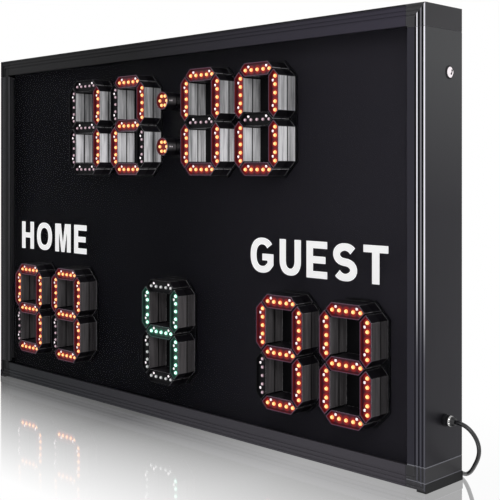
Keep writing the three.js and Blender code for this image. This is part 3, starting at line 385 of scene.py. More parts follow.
# finishes by the record's slots: colour, how much it changes, gloss, grain and rubbed edges
plain = dict(change=0.3, metallic=0.0, stretch=(1, 1, 1), edge=0.4, edgeRadius=0.0006, dust=0.0, gloss=0.4)
anodised = dict(
    plain, change=0.2, roughness=0.46, metallic=0.5, scale=700.0, bump=0.04, edgeRadius=0.0007, dust=0.02)
finishes = {
    # the top rail, with painted light: lighter towards one end
    "anodised_across": dict(
        anodised, colour=(0.004, 0.004, 0.005, 1), wornAndLitEdge=(0.03, 0.03, 0.034, 1), stretch=(0.015, 1.0, 1.0),
        gloss=0.12, paintedLight=(0.042, 0.038, 0.054, 1), paintedLightAlong=("X", -0.1, 0.6),
        border=("Z", 0.7372, 0.7380)),
    # the bottom rail, with painted light: lighter towards one end
    "anodised_low": dict(
        anodised, colour=(0.005, 0.006, 0.009, 1), wornAndLitEdge=(0.04, 0.04, 0.046, 1), roughness=0.42, metallic=0.6,
        stretch=(0.015, 1.0, 1.0), dust=0.06, gloss=0.15, paintedLight=(0.058, 0.054, 0.064, 1),
        paintedLightAlong=("X", -0.45, 0.45)),
    # the left upright, with painted light: its faces that look to the right are lighter
    "anodised_up": dict(
        anodised, colour=(0.003, 0.003, 0.004, 1), wornAndLitEdge=(0.03, 0.03, 0.033, 1), change=0.25,
        stretch=(1.0, 1.0, 0.015), gloss=0.06, facing=("X", 1, (0.16, 0.16, 0.17, 1))),
    # the right upright, with painted light: lighter all over than the left one, lighter towards the top, a
    # tone of its own on its front faces, pale edges and painted highlights on its ridges
    "anodised_lit_right": dict(
        anodised, colour=(0.021, 0.020, 0.025, 1), wornAndLitEdge=(0.12, 0.12, 0.14, 1), change=0.15, roughness=0.40,
        metallic=0.6, stretch=(1.0, 1.0, 0.015), dust=0.03, gloss=0.2, paintedLight=(0.064, 0.065, 0.068, 1),
        paintedLightAlong=("Z", 0.42, 0.66), facing=("Y", -1, (0.026, 0.025, 0.034, 1)),
        border=("Y", 0.0552, 0.0562), ridgeHighlight=True),
    "corner_left": dict(
        plain, colour=(0.004, 0.004, 0.005, 1), wornAndLitEdge=(0.05, 0.05, 0.055, 1), change=0.2, roughness=0.48,
        scale=1400.0, bump=0.08, dust=0.03, gloss=0.08),
    # the right corner pieces: the left ones' plastic with painted light, lighter all over, with pale edges
    # and painted highlights on the ridges and along the foot and the joint
    "corner_lit_right": dict(
        plain, colour=(0.054, 0.053, 0.057, 1), wornAndLitEdge=(0.32, 0.33, 0.36, 1), change=0.2, roughness=0.46,
        scale=1400.0, bump=0.08, edge=0.9, edgeRadius=0.0009, dust=0.05, gloss=0.12,
        border=("Y", 0.0552, 0.0562), ridgeHighlight=True, seam=(0.24, 0.24, 0.27, 1), seamHigh=0.0352),
    "foot_rubber": dict(
        plain, colour=(0.012, 0.012, 0.013, 1), wornAndLitEdge=(0.05, 0.05, 0.05, 1), change=0.4, roughness=0.82,
        scale=900.0, bump=0.25, edgeRadius=0.0008, dust=0.2),
    # the black panel, with painted light: lighter towards one end
    "black_panel": dict(
        plain, colour=(0.004, 0.004, 0.006, 1), wornAndLitEdge=(0.01, 0.01, 0.01, 1), roughness=0.7, scale=1600.0,
        bump=0.01, edge=0.0, gloss=0.04, paintedLight=(0.044, 0.041, 0.052, 1), paintedLightAlong=("X", 0.0, 0.65)),
    "dark_part": dict(
        plain, colour=(0.004, 0.004, 0.005, 1), wornAndLitEdge=(0.012, 0.012, 0.013, 1), roughness=0.6, scale=1200.0,
        bump=0.1, edge=0.2, gloss=0.1),
    "rear_steel": dict(
        plain, colour=(0.024, 0.024, 0.027, 1), wornAndLitEdge=(0.14, 0.14, 0.15, 1), change=0.25, roughness=0.52,
        metallic=0.1, scale=900.0, bump=0.22, edge=0.5, dust=0.1),
    "nickel": dict(
        plain, colour=(0.66, 0.65, 0.64, 1), wornAndLitEdge=(0.9, 0.9, 0.9, 1), change=0.1, roughness=0.2, metallic=1.0,
        scale=1800.0, bump=0.03, edgeRadius=0.0004),
    "screw_head": dict(
        plain, colour=(1.0, 0.92, 0.95, 1), wornAndLitEdge=(1.0, 0.98, 0.98, 1), change=0.03, roughness=0.16,
        metallic=1.0, scale=1800.0, bump=0.02, edge=0.3, edgeRadius=0.0004),
    "zinc": dict(
        plain, colour=(0.42, 0.43, 0.45, 1), wornAndLitEdge=(0.7, 0.7, 0.7, 1), change=0.25, roughness=0.38,
        metallic=0.95, scale=500.0, bump=0.05, edge=0.5, edgeRadius=0.0005, dust=0.05),
    "black_plastic": dict(
        plain, colour=(0.010, 0.010, 0.012, 1), wornAndLitEdge=(0.08, 0.08, 0.09, 1), roughness=0.3, scale=1500.0,
        bump=0.08, edge=0.5, edgeRadius=0.0005, dust=0.04, gloss=0.5),
    "cord_jacket": dict(
        plain, colour=(0.010, 0.010, 0.012, 1), wornAndLitEdge=(0.04, 0.04, 0.04, 1), change=0.25, roughness=0.26,
        scale=1200.0, bump=0.05, edge=0.0, edgeRadius=0.0005, dust=0.04, gloss=0.6),
    # white film with painted light: it glows a little
    "white_film": dict(
        plain, colour=(0.98, 0.98, 0.98, 1), wornAndLitEdge=(0.9, 0.9, 0.9, 1), change=0.01, roughness=0.45,
        scale=1500.0, bump=0.02, edge=0.0, edgeRadius=0.0004, paintedFilmGlow=0.14),
    "circuit": dict(
        plain, colour=(0.012, 0.085, 0.032, 1), wornAndLitEdge=(0.30, 0.27, 0.14, 1), roughness=0.36, scale=600.0,
        bump=0.08, edge=0.3, edgeRadius=0.0004),
}
finishSetup = {
    "facingFrom": 0.7, "seamOverFoot": 0.0008, "seamHalf": 0.0007, "borderColour": grey(0.004),
    "dustColour": grey(0.35), "roughChange": 0.16, "bumpDepth": 0.0004,
}


def makeFinish(name, look, setup):
    material, tree, surface = newMaterial(name)
    grain = placeGroup(tree, grainGroup, Scale=look["scale"], Stretch=look["stretch"])
    tone = aboveLevel(tree, grain["Tone"], 0.5, 2 * look["change"])
    colour = brightened(tree, look["colour"], mathNode(tree, "ADD", tone, 1.0))
    place = splitNode(tree, objectPlace(tree))
    if "paintedLight" in look:
        # painted light: the piece is toned lighter towards one end
        axis, start, end = look["paintedLightAlong"]
        colour = mixColour(tree, rampNode(tree, place[axis], start, end), colour, look["paintedLight"])
    edgeMask = placeGroup(tree, edgeWearAndHighlightGroup, Radius=look["edgeRadius"], Amount=look["edge"])["Mask"]
    colour = mixColour(tree, edgeMask, colour, look["wornAndLitEdge"])
    if "facing" in look:
        # painted light: the faces that look one way have a tone of their own
        axis, sign, litFaceTone = look["facing"]
        toward = product(tree, trueNormal(tree)[axis], sign)
        colour = mixColour(tree, mathNode(tree, "GREATER_THAN", toward, setup["facingFrom"]), colour, litFaceTone)
    if "ridgeHighlight" in look:
        # painted highlights on the ridges, and painted shade in the grooves between them
        ridgeHighlight = placeGroup(tree, ridgeHighlightGroup, Front=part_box("rail_right")[0].y)
        colour = mixColour(tree, ridgeHighlight["Painted Groove Shade"], colour, ridgeHighlightTones["groove"])
        bright = mixColour(tree, ridgeHighlight["Shade"], ridgeHighlightTones["dull"], ridgeHighlightTones["bright"])
        colour = mixColour(tree, ridgeHighlight["Mask"], colour, bright)
    if "seam" in look:
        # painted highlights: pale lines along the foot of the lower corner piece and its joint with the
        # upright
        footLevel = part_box("foot_right")[1].z + setup["seamOverFoot"]
        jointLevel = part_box("corner_bottom_right")[0].z + look["seamHigh"]
        for level in (footLevel, jointLevel):
            line = mathNode(tree, "LESS_THAN", awayFrom(tree, place["Z"], level), setup["seamHalf"])
            colour = mixColour(tree, line, colour, look["seam"])
    if "border" in look:
        # dark band from a given level on one axis to the piece's far edge
        axis, start, end = look["border"]
        colour = mixColour(tree, rampNode(tree, place[axis], start, end), colour, setup["borderColour"])
    if look["dust"]:
        settled = placeGroup(tree, dustGroup, Amount=look["dust"])["Mask"]
        colour = mixColour(tree, settled, colour, setup["dustColour"])
    if "paintedFilmGlow" in look:
        # painted light: the film glows a little, so white that it seems to shine beside the dark sheet
        fillSockets(tree, surface, Emission_Color=colour, Emission_Strength=look["paintedFilmGlow"])
    change = aboveLevel(tree, grain["Height"], 0.5, setup["roughChange"])
    fillSockets(
        tree, surface, Base_Color=colour, Metallic=look["metallic"], Specular_IOR_Level=look["gloss"],
        Roughness=mathNode(tree, "ADD", change, look["roughness"], clamp=True),
        Normal=bumpNode(tree, grain["Height"], look["bump"], setup["bumpDepth"]))
    return material


materials = {name: makeFinish(name, look, finishSetup) for name, look in finishes.items()}

# clear front sheet: thin smoked acrylic
clearSheet = {
    "colour": (0.004, 0.004, 0.007, 1), "roughness": 0.08, "alpha": 0.12, "ior": 1.49, "gloss": 0.05,
}


def makeClearSheet(look):
    material, tree, surface = newMaterial("clear_sheet")
    fillSockets(
        tree, surface, Base_Color=look["colour"], Roughness=look["roughness"], IOR=look["ior"],
        Specular_IOR_Level=look["gloss"], Alpha=look["alpha"])
    return material


materials["clear_sheet"] = makeClearSheet(clearSheet)
print("finishes made")

# carried-over pieces: each gets its finish, and the larger ones softened edges
softEdges = {"large": 0.0004, "small": 0.0003, "segments": 2, "angle": 35.0, "weld": 0.00001}
softNodes = {
    "large": ("rail_top", "rail_bottom", "rail_left", "rail_right", "corner_top_left", "corner_top_right",
              "corner_bottom_left", "corner_bottom_right"),
    "small": ("foot_left", "foot_right", "hanger_plate_left", "hanger_plate_right", "service_door",
              "gland_body", "mains_plug", "mains_terminals", "power_supply", "switch_body"),
}
finishOfRail = {
    "rail_top": "anodised_across", "rail_bottom": "anodised_low", "rail_left": "anodised_up",
    "rail_right": "anodised_lit_right",
}
# the other slots have a finish of their own name
finishOfSlot = {
    "pale_housing": "dark_part", "dark_housing": "dark_part", "red_lamps": "dark_part",
    "green_lamps": "dark_part",
}


def softenEdges(piece, width, setup):
    weld = piece.modifiers.new("weld", "WELD")
    weld.merge_threshold = setup["weld"]
    bevel = piece.modifiers.new("edges", "BEVEL")
    bevel.width = width
    bevel.segments = setup["segments"]
    bevel.limit_method = "ANGLE"
    bevel.angle_limit = math.radians(setup["angle"])
    bevel.harden_normals = False
    piece.modifiers.new("normals", "WEIGHTED_NORMAL")


def dressNodes():
    for name, node in nodes.items():
        slotName = node.data.materials[0].name.split(".")[0]
        if slotName == "anodised_rail":
            finish = finishOfRail[name]
        elif slotName == "corner_plastic":
            finish = "corner_lit_right" if name.endswith("right") else "corner_left"
        elif name.startswith("side_bolt"):
            finish = "screw_head"
        else:
            finish = finishOfSlot.get(slotName, slotName)
        node.material_slots[0].material = materials[finish]


dressNodes()
leadPiece.data.materials.append(materials["cord_jacket"])
for size, names in softNodes.items():
    for name in names:
        softenEdges(nodes[name], softEdges[size], softEdges)


# helpers for new pieces

def newPiece(name, mesh, finishNames, replaced=()):
    data = bpy.data.meshes.new(name)
    bmesh.ops.recalc_face_normals(mesh, faces=mesh.faces)
    mesh.to_mesh(data)
    mesh.free()
    for finish in finishNames:
        data.materials.append(materials[finish])
    piece = bpy.data.objects.new(name, data)
    bpy.context.collection.objects.link(piece)
    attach(piece, "board")
    if replaced:
        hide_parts(*replaced)
    return piece


def roundedCorners(points, radius, steps):
    # a closed flat outline with each corner turned into a short arc
    result = []
    count = len(points)
    for i, here in enumerate(points):
        corner = Vector(here)
        before = (Vector(points[i - 1]) - corner).normalized()
        after = (Vector(points[(i + 1) % count]) - corner).normalized()
        half = before.angle(after) / 2
        reach = radius / math.tan(half)
        centre = corner + (before + after).normalized() * (radius / math.sin(half))
        first = corner + before * reach - centre
        last = corner + after * reach - centre
        swing = first.angle_signed(last)
        for k in range(steps + 1):
            turn = -swing * k / steps
            result.append((
                centre.x + first.x * math.cos(turn) - first.y * math.sin(turn),
                centre.y + first.x * math.sin(turn) + first.y * math.cos(turn)))
    return result


# digits: seven lamp housings each, with a strip of five lamps just inside each rim
digitShape = {
    "columnGap": 0.084, "rowGap": 0.087, "stroke": 0.0235, "segmentGap": 0.003, "wall": 0.0016,
    "flangeMargin": 0.004, "flangeThick": 0.002, "driverMargin": -0.002, "driverThick": 0.0016,
    "stripSink": 0.0045, "stripThick": 0.0016, "stripGap": 0.0003, "riser": 0.006,
    "cornerRadius": 0.0009, "cornerSteps": 3, "rimRadius": 0.0004, "rimShare": 0.3,
    "outlineRadius": 0.001, "outlineSteps": 2,
}
lampShape = {
    "radius": 0.0031, "high": 0.0034, "pitch": 0.0145, "offset": 0.0008, "perSegment": 5, "sides": 10,
}
screwShape = {"radius": 0.0030, "high": 0.0018, "aside": 0.0058, "sides": 10}
segmentNames = ("top", "middle", "bottom", "upperLeft", "upperRight", "lowerLeft", "lowerRight")
# where a segment stands, in half column gaps and row gaps from the middle, and whether it is upright
segmentShares = {
    "top": (0, 1, False), "middle": (0, 0, False), "bottom": (0, -1, False), "upperLeft": (-1, 0.5, True),
    "upperRight": (1, 0.5, True), "lowerLeft": (-1, -0.5, True), "lowerRight": (1, -0.5, True),
}
segmentsOfFigure = {
    "0": "top bottom upperLeft upperRight lowerLeft lowerRight",
    "1": "upperRight lowerRight",
    "2": "top upperRight middle lowerLeft bottom",
    "4": "upperLeft upperRight middle lowerRight",
    "8": "top middle bottom upperLeft upperRight lowerLeft lowerRight",
    "9": "top middle bottom upperLeft upperRight lowerRight",
}
shownFigures = {
    "clock_1": "1", "clock_2": "2", "clock_3": "0", "clock_4": "0", "home_1": "9", "home_2": "9",
    "period_1": "4", "guest_1": "9", "guest_2": "8",
}
lampTints = {
    "red": dict(core=(1.0, 0.62, 0.24, 1), edge=(0.90, 0.12, 0.012, 1), halo=(0.24, 0.004, 0.002, 1),
                face=(0.020, 0.0006, 0.004, 1), rim=(0.055, 0.012, 0.036, 1)),
    "green": dict(core=(0.72, 1.0, 0.88, 1), edge=(0.16, 0.86, 0.56, 1), halo=(0.002, 0.07, 0.036, 1),
                  face=(0.001, 0.008, 0.007, 1), rim=(0.004, 0.034, 0.026, 1)),
}


# in lamp pitches from a lamp's middle: where its core ends and its edge starts, and its light on the strip
glowLook = {
    "lastLamp": 2.0, "coreEnd": 0.14, "edgeStart": 0.26, "haloEnd": 0.2, "faceStart": 0.62,
    "lampRadius": 0.225,
}


def makeGlowGroup(look):
    # distance in the segment's own plane to the nearest lamp of its row, from the flat coordinates
    inputs = [(label, "NodeSocketColor", grey(1)) for label in ("Core", "Edge", "Halo", "Face")]
    group, given, out = newGroup("Lamp glow", inputs, [("Glow", "NodeSocketColor")])
    split = splitNode(group, addNode(group, "ShaderNodeUVMap").outputs[0])
    nearest = mathNode(group, "MAXIMUM", mathNode(group, "ROUND", split["X"]), -look["lastLamp"])
    along = awayFrom(group, split["X"], mathNode(group, "MINIMUM", nearest, look["lastLamp"]))
    aside = mathNode(group, "ABSOLUTE", split["Y"])
    squares = [mathNode(group, "POWER", part, 2.0) for part in (along, aside)]
    away = mathNode(group, "SQRT", mathNode(group, "ADD", *squares))
    lamp = rampNode(group, away, look["coreEnd"], look["edgeStart"])
    spread = rampNode(group, away, look["haloEnd"], look["faceStart"])
    outside = mathNode(group, "GREATER_THAN", away, look["lampRadius"])
    bright = mixColour(group, lamp, given["Core"], given["Edge"])
    dim = mixColour(group, spread, given["Halo"], given["Face"])
    group.links.new(mixColour(group, outside, bright, dim), out["Glow"])
    return group


glowGroup = makeGlowGroup(glowLook)

litLook = {
    "base": (0.012, 0.006, 0.007, 1), "strength": 1.6, "roughness": 0.35, "roughChange": 0.1, "gloss": 0.15,
    "scale": 1500.0,
}
rimLook = {
    "base": (0.016, 0.012, 0.016, 1), "outside": 1.0, "inside": 0.3, "roughness": 0.4, "gloss": 0.25,
    "scale": 1500.0, "toneScale": 60.0, "bump": 0.1, "bumpDepth": 0.0003,
}


def makeLitMaterial(name, tint, look):
    material, tree, surface = newMaterial(name)
    glow = placeGroup(
        tree, glowGroup, Core=tint["core"], Edge=tint["edge"], Halo=tint["halo"], Face=tint["face"])
    grain = placeGroup(tree, grainGroup, Scale=look["scale"])
    change = aboveLevel(tree, grain["Height"], 0.5, look["roughChange"])
    fillSockets(
        tree, surface, Base_Color=look["base"], Emission_Color=glow["Glow"],
        Emission_Strength=look["strength"], Specular_IOR_Level=look["gloss"],
        Roughness=mathNode(tree, "ADD", change, look["roughness"]))
    return material


def makeRimMaterial(name, tone, strength, look):
    # moulded rim or inner wall, tinted by the light of the lamps inside it
    material, tree, surface = newMaterial(name)
    grain = placeGroup(tree, grainGroup, Scale=look["scale"], Tone_Scale=look["toneScale"])
    lit = brightened(tree, tone, mathNode(tree, "ADD", grain["Tone"], 0.5))
    fillSockets(
        tree, surface, Base_Color=look["base"], Emission_Color=lit, Emission_Strength=strength,
        Specular_IOR_Level=look["gloss"], Roughness=look["roughness"],
        Normal=bumpNode(tree, grain["Height"], look["bump"], look["bumpDepth"]))
    return material


# moulded housing walls with painted light: flat sides lit bright, other faces in painted shade,
# painted edge highlights, lines along the height that depend on depth,
# and a dark seam in the plane of the clear sheet
wallLooks = {
    "pale_wall": dict(
        dark=(0.22, 0.22, 0.23, 1), light=(0.98, 0.97, 0.99, 1), ends=(0.008, 0.007, 0.009, 1),
        edge=(0.55, 0.54, 0.56, 1), paintedWallGlow=0.30, upperRowGlowShare=0.1),
    "dimly_lit_wall": dict(
        dark=(0.040, 0.036, 0.038, 1), light=(0.15, 0.14, 0.145, 1), ends=(0.006, 0.005, 0.007, 1),
        edge=(0.62, 0.60, 0.62, 1), paintedWallGlow=0.05, upperRowGlowShare=1.0),
}
wallSetup = {
    "stretch": (0.15, 1.0, 0.06), "lineScale": 260.0, "lineDetail": 4.0, "lineRoughness": 0.6,
    "wideScale": 70.0, "wideDetail": 2.0, "share": 0.9, "darkAt": 0.62, "lightAt": 1.12,
    "seamHalf": 0.0009, "seamEnd": 0.0017, "seamColour": grey(0.004), "sideFrom": 0.9, "sideFull": 0.99,
    "edgeRadius": 0.0015, "edgeAmount": 2.2, "rowHalf": 0.02, "roughness": 0.26, "roughChange": 0.2,
    "bump": 0.25, "bumpDepth": 0.0004,
}


def makeWall(name, look, setup):
    material, tree, surface = newMaterial(name)
    place = objectPlace(tree)
    split = splitNode(tree, place)
    sheetLow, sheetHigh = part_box("front_sheet")
    fromSeam = awayFrom(tree, split["Y"], (sheetLow.y + sheetHigh.y) / 2)
    seam = rampNode(tree, fromSeam, setup["seamHalf"], setup["seamEnd"])
    drawn = stretched(tree, place, setup["stretch"])
    lines = noiseNode(tree, drawn, setup["lineScale"], setup["lineDetail"], setup["lineRoughness"])
    wide = noiseNode(tree, drawn, setup["wideScale"], setup["wideDetail"])
    blend = mathNode(tree, "ADD", product(tree, lines, setup["share"]), product(tree, wide, setup["share"]))
    level = rampNode(tree, blend, setup["darkAt"], setup["lightAt"])
    # painted light: flat sides that face left or right are lit bright, the other faces get painted shade
    sideways = mathNode(tree, "ABSOLUTE", trueNormal(tree)["X"])
    litSide = rampNode(tree, sideways, setup["sideFrom"], setup["sideFull"])
    colour = mixColour(tree, litSide, look["ends"], mixColour(tree, level, look["dark"], look["light"]))
    # painted highlights: pale lines along the walls' edges
    edgeMask = placeGroup(tree, edgeWearAndHighlightGroup, Radius=setup["edgeRadius"], Amount=setup["edgeAmount"])["Mask"]
    colour = mixColour(tree, seam, setup["seamColour"], mixColour(tree, edgeMask, colour, look["edge"]))
    # painted light: the walls glow by themselves, for light the floor throws, the clock's lower row more than
    # the upper one
    low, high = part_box("clock_4_housing")
    halfWay = (low.z + high.z) / 2
    share = rampNode(tree, split["Z"], halfWay - setup["rowHalf"], halfWay + setup["rowHalf"], 1.0,
                     look["upperRowGlowShare"])
    fillSockets(
        tree, surface, Base_Color=colour, Emission_Color=brightened(tree, colour, share),
        Emission_Strength=look["paintedWallGlow"], Normal=bumpNode(tree, blend, setup["bump"], setup["bumpDepth"]),
        Roughness=mathNode(tree, "ADD", product(tree, lines, setup["roughChange"]), setup["roughness"]))
    return material


# clear lamps that are not lit: a dim body with a painted highlight at the tip and a wet gloss
offLooks = {
    "red": dict(dark=(0.03, 0.012, 0.017, 1), light=(0.11, 0.05, 0.065, 1), tip=(0.95, 0.66, 0.76, 1)),
    "green": dict(dark=(0.40, 0.41, 0.41, 1), light=(0.80, 0.82, 0.82, 1), tip=(1.0, 1.0, 1.0, 1)),
}
offSetup = {"scale": 900.0, "toneScale": 70.0, "tipPower": 1.8, "roughness": 0.16, "coat": 0.6}


def makeDarkLamp(name, look, setup):
    material, tree, surface = newMaterial(name)
    grain = placeGroup(tree, grainGroup, Scale=setup["scale"], Tone_Scale=setup["toneScale"])
    body = mixColour(tree, grain["Tone"], look["dark"], look["light"])
    # painted highlight at the lamp's tip
    tip = placeGroup(tree, glowGroup, Core=grey(1), Edge=grey(0), Halo=grey(0), Face=grey(0))["Glow"]
    tip = mathNode(tree, "POWER", tip, setup["tipPower"])
    fillSockets(
        tree, surface, Base_Color=mixColour(tree, tip, body, look["tip"]), Coat_Weight=setup["coat"],
        Roughness=product(tree, grain["Height"], setup["roughness"]))
    return material


for tintName, tint in lampTints.items():
    materials[f"lit_{tintName}"] = makeLitMaterial(f"lit_{tintName}", tint, litLook)
    for name, tone, strength in (("rim", tint["rim"], "outside"), ("inside", tint["halo"], "inside")):
        made = makeRimMaterial(f"{name}_{tintName}", tone, rimLook[strength], rimLook)
        materials[f"{name}_{tintName}"] = made
for wallName, look in wallLooks.items():
    materials[wallName] = makeWall(wallName, look, wallSetup)
for tintName, look in offLooks.items():
    materials[f"off_{tintName}"] = makeDarkLamp(f"off_{tintName}", look, offSetup)


def segmentFrame(place, name):
    across, up, upright = segmentShares[name]
    x = place[0] + across * digitShape["columnGap"] / 2
    z = place[1] + up * digitShape["rowGap"]
    gap = digitShape["rowGap"] if upright else digitShape["columnGap"]
    return x, z, upright, gap / 2 - digitShape["segmentGap"] * math.sqrt(0.5)


def hexagon(segment, margin):
    # six-sided outline of a segment in x and z, drawn in by the margin
    x, z, upright, halfLong = segment
    half = digitShape["stroke"] / 2 - margin
    tip = halfLong - margin * math.sqrt(2)
    points = [(-tip, 0), (half - tip, -half), (tip - half, -half), (tip, 0), (tip - half, half),
              (half - tip, half)]
    placed = [(x - b, z + a) if upright else (x + a, z + b) for a, b in points]
    return roundedCorners(placed, digitShape["cornerRadius"], digitShape["cornerSteps"])


def digitOutline(place, margin):
    halfWide = (digitShape["columnGap"] + digitShape["stroke"]) / 2 + margin
    halfHigh = digitShape["rowGap"] + digitShape["stroke"] / 2 + margin
    chamfer = digitShape["stroke"] + digitShape["segmentGap"] * math.sqrt(0.5) + margin * (2 - math.sqrt(2))
    quarter = [(halfWide - chamfer, halfHigh), (halfWide, halfHigh - chamfer)]
    right = quarter + [(a, -b) for a, b in reversed(quarter)]
    outline = right + [(-a, b) for a, b in reversed(right)]
    placed = [(place[0] + a, place[1] + b) for a, b in outline]
    return roundedCorners(placed, digitShape["outlineRadius"], digitShape["outlineSteps"])


def atDepth(outline, y):
    return [Vector((x, y, z)) for x, z in outline]


def makePlate(mesh, outline, front, back, slot):
    rings = [atDepth(outline, front), atDepth(outline, back)]
    return sweepRings(mesh, rings, closed=False, slots=[slot], caps=(True, True))


def tubeProfile(front, back):
    # margin inwards and depth, round the rim: outer wall, rim and inner wall
    wall = digitShape["wall"]
    soft = digitShape["rimRadius"]
    third = soft * digitShape["rimShare"]
    return [
        (0, back), (0, front + soft), (third, front + third), (soft, front), (wall - soft, front),
        (wall - third, front + third), (wall, front + soft), (wall, front + digitShape["stripSink"]),
        (wall, back),
    ]


# material number of each band of a housing, outside to inside: 0 wall, 1 lit rim, 2 lit inner wall, 3 dull
bandsDark = [0, 0, 3, 3, 3, 3, 3, 3, 3]
bandsLit = [0, 0, 1, 1, 1, 1, 2, 3, 3]


def housingPiece(name, outlineOf, isLit, wallName, tintName, flange, front, back):
    mesh = bmesh.new()
    for outline, lit in zip(outlineOf, isLit):
        rings = [atDepth(outline(margin), y) for margin, y in tubeProfile(front, back)]
        sweepRings(mesh, rings, slots=bandsLit if lit else bandsDark)
    makePlate(mesh, flange, back - digitShape["flangeThick"], back, 3)
    finishNames = [wallName, f"rim_{tintName}", f"inside_{tintName}", "dark_part"]
    piece = newPiece(f"{name}_shell", mesh, finishNames, [f"{name}_housing"])
    smoothByAngle(piece)
    return piece


def smoothByAngle(piece, angle=32.0):
    data = piece.data
    data.polygons.foreach_set("use_smooth", [True] * len(data.polygons))
    data.set_sharp_from_angle(angle=math.radians(angle))
    normals = piece.modifiers.new("normals", "WEIGHTED_NORMAL")
    normals.keep_sharp = True


def lampRow(segment):
    x, z, upright, _ = segment
    count = lampShape["perSegment"]
    alongs = [(i - (count - 1) / 2) * lampShape["pitch"] for i in range(count)]
    if upright:
        return [(x + lampShape["offset"], z + a) for a in alongs]
    return [(x + a, z - lampShape["offset"]) for a in alongs]


def flatCoordinates(segment, point):
    # along the lamp row and across it, in lamp pitches, with lamps at whole numbers
    x, z, upright, _ = segment
    pitch, offset = lampShape["pitch"], lampShape["offset"]
    if upright:
        return (point.z - z) / pitch, (point.x - x - offset) / pitch
    return (point.x - x) / pitch, (point.z - z + offset) / pitch


forwards, backwards, rightwards, upwards = [Vector(v) for v in ((0, -1, 0), (0, 1, 0), (1, 0, 0), (0, 0, 1))]
# a small round head's radius and reach, as shares of its own
headProfile = [(1.0, 0.0), (1.0, 0.35), (0.86, 0.68), (0.52, 0.93)]


def turnedRings(place, facing, profile, sides):
    # rings round an axis, from radius and reach pairs
    aside = upwards.cross(facing)
    turns = [2 * math.pi * k / sides for k in range(sides)]
    spokes = [aside * math.cos(t) + upwards * math.sin(t) for t in turns]
    return [[place + facing * reach + spoke * radius for spoke in spokes] for radius, reach in profile]


def roundHead(mesh, place, facing, shape, slot=0):
    profile = [(shape["radius"] * wide, shape["high"] * reach) for wide, reach in headProfile]
    rings = turnedRings(place, facing, profile, shape["sides"])
    faces = sweepRings(mesh, rings, closed=False, slots=[slot] * (len(rings) - 1), caps=(False, True))
    for face in faces:
        face.smooth = True
    return faces


def dome(mesh, centre, base, shape, slot):
    return roundHead(mesh, Vector((centre[0], base, centre[1])), forwards, shape, slot)


def setFlat(layer, faces, flatPlace):
    for loop in [loop for face in faces for loop in face.loops]:
        loop[layer].uv = flatPlace(loop.vert.co)


def lampPiece(name, segments, isLit, tintName, driver, front, back):
    # material numbers: 0 lit lamps and strips, 1 lamps that are off, 2 bare strips and driver board, 3 screws
    mesh = bmesh.new()
    layer = mesh.loops.layers.uv.new("flat")
    boardFace = front + lampShape["high"]
    stripBack = boardFace + digitShape["stripThick"]
    for segment, lit in zip(segments, isLit):
        outline = hexagon(segment, digitShape["wall"] + digitShape["stripGap"])
        faces = makePlate(mesh, outline, boardFace, stripBack, 0 if lit else 2)
        for place in lampRow(segment):
            faces += dome(mesh, place, boardFace, lampShape, 0 if lit else 1)
        setFlat(layer, faces, lambda point: flatCoordinates(segment, point))
        for place in screwPlaces(segment):
            dome(mesh, place, boardFace, screwShape, 3)
        x, z = segment[0], segment[1]
        half = digitShape["riser"] / 2
        riser = [(x - half, z - half), (x + half, z - half), (x + half, z + half), (x - half, z + half)]
        makePlate(mesh, riser, stripBack, back, 2)
    makePlate(mesh, driver, back - digitShape["driverThick"], back, 2)
    finishNames = [f"lit_{tintName}", f"off_{tintName}", "dark_part", "screw_head"]
    newPiece(f"{name}_lights", mesh, finishNames, [f"{name}_lamps"])


def screwPlaces(segment):
    row = lampRow(segment)
    places = []
    for a, b in ((row[0], row[1]), (row[-2], row[-1])):
        x, z = (a[0] + b[0]) / 2, (a[1] + b[1]) / 2
        places.append((x - screwShape["aside"], z) if segment[2] else (x, z + screwShape["aside"]))
    return places


def makeDigits():
    for name, figure in shownFigures.items():
        low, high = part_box(f"{name}_housing")
        place = ((low.x + high.x) / 2, (low.z + high.z) / 2)
        segments = [segmentFrame(place, s) for s in segmentNames]
        isLit = [s in segmentsOfFigure[figure].split() for s in segmentNames]
        tintName = "green" if name.startswith("period") else "red"
        pale = name.startswith("clock")
        outlineOf = [lambda margin, s=s: hexagon(s, margin) for s in segments]
        housingPiece(name, outlineOf, isLit, "pale_wall" if pale else "dimly_lit_wall", tintName,
                     digitOutline(place, digitShape["flangeMargin"]), low.y, high.y)
        lampLow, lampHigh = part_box(f"{name}_lamps")
        lampPiece(name, segments, isLit, tintName, digitOutline(place, digitShape["driverMargin"]),
                  lampLow.y, lampHigh.y)


makeDigits()
print("digits made")

# colon: two round housings, each with a ring of lit lamps
colonShape = {
    "radius": 0.017, "ringRadius": 0.010, "lampCount": 6, "halfGap": 0.044, "sides": 40,
    "screw": dict(screwShape, radius=0.0024), "screwPlace": (0.0112, -0.0050), "cornerRadius": 0.002,
    "cornerSteps": 3, "stripPlace": (0.46, 0.0),
}


def ringPoints(centre, radius, count):
    turns = [2 * math.pi * k / count for k in range(count)]
    return [(centre[0] + radius * math.cos(t), centre[1] + radius * math.sin(t)) for t in turns]


def rectangleAround(centre, halfWide, halfHigh, radius):
    x, z = centre
    corners = [(x + halfWide, z + halfHigh), (x + halfWide, z - halfHigh),
               (x - halfWide, z - halfHigh), (x - halfWide, z + halfHigh)]
    return roundedCorners(corners, radius, colonShape["cornerSteps"])


def colonFlange(centre, margin):
    reach = colonShape["radius"] + margin
    return rectangleAround(centre, reach, reach + colonShape["halfGap"], colonShape["cornerRadius"])


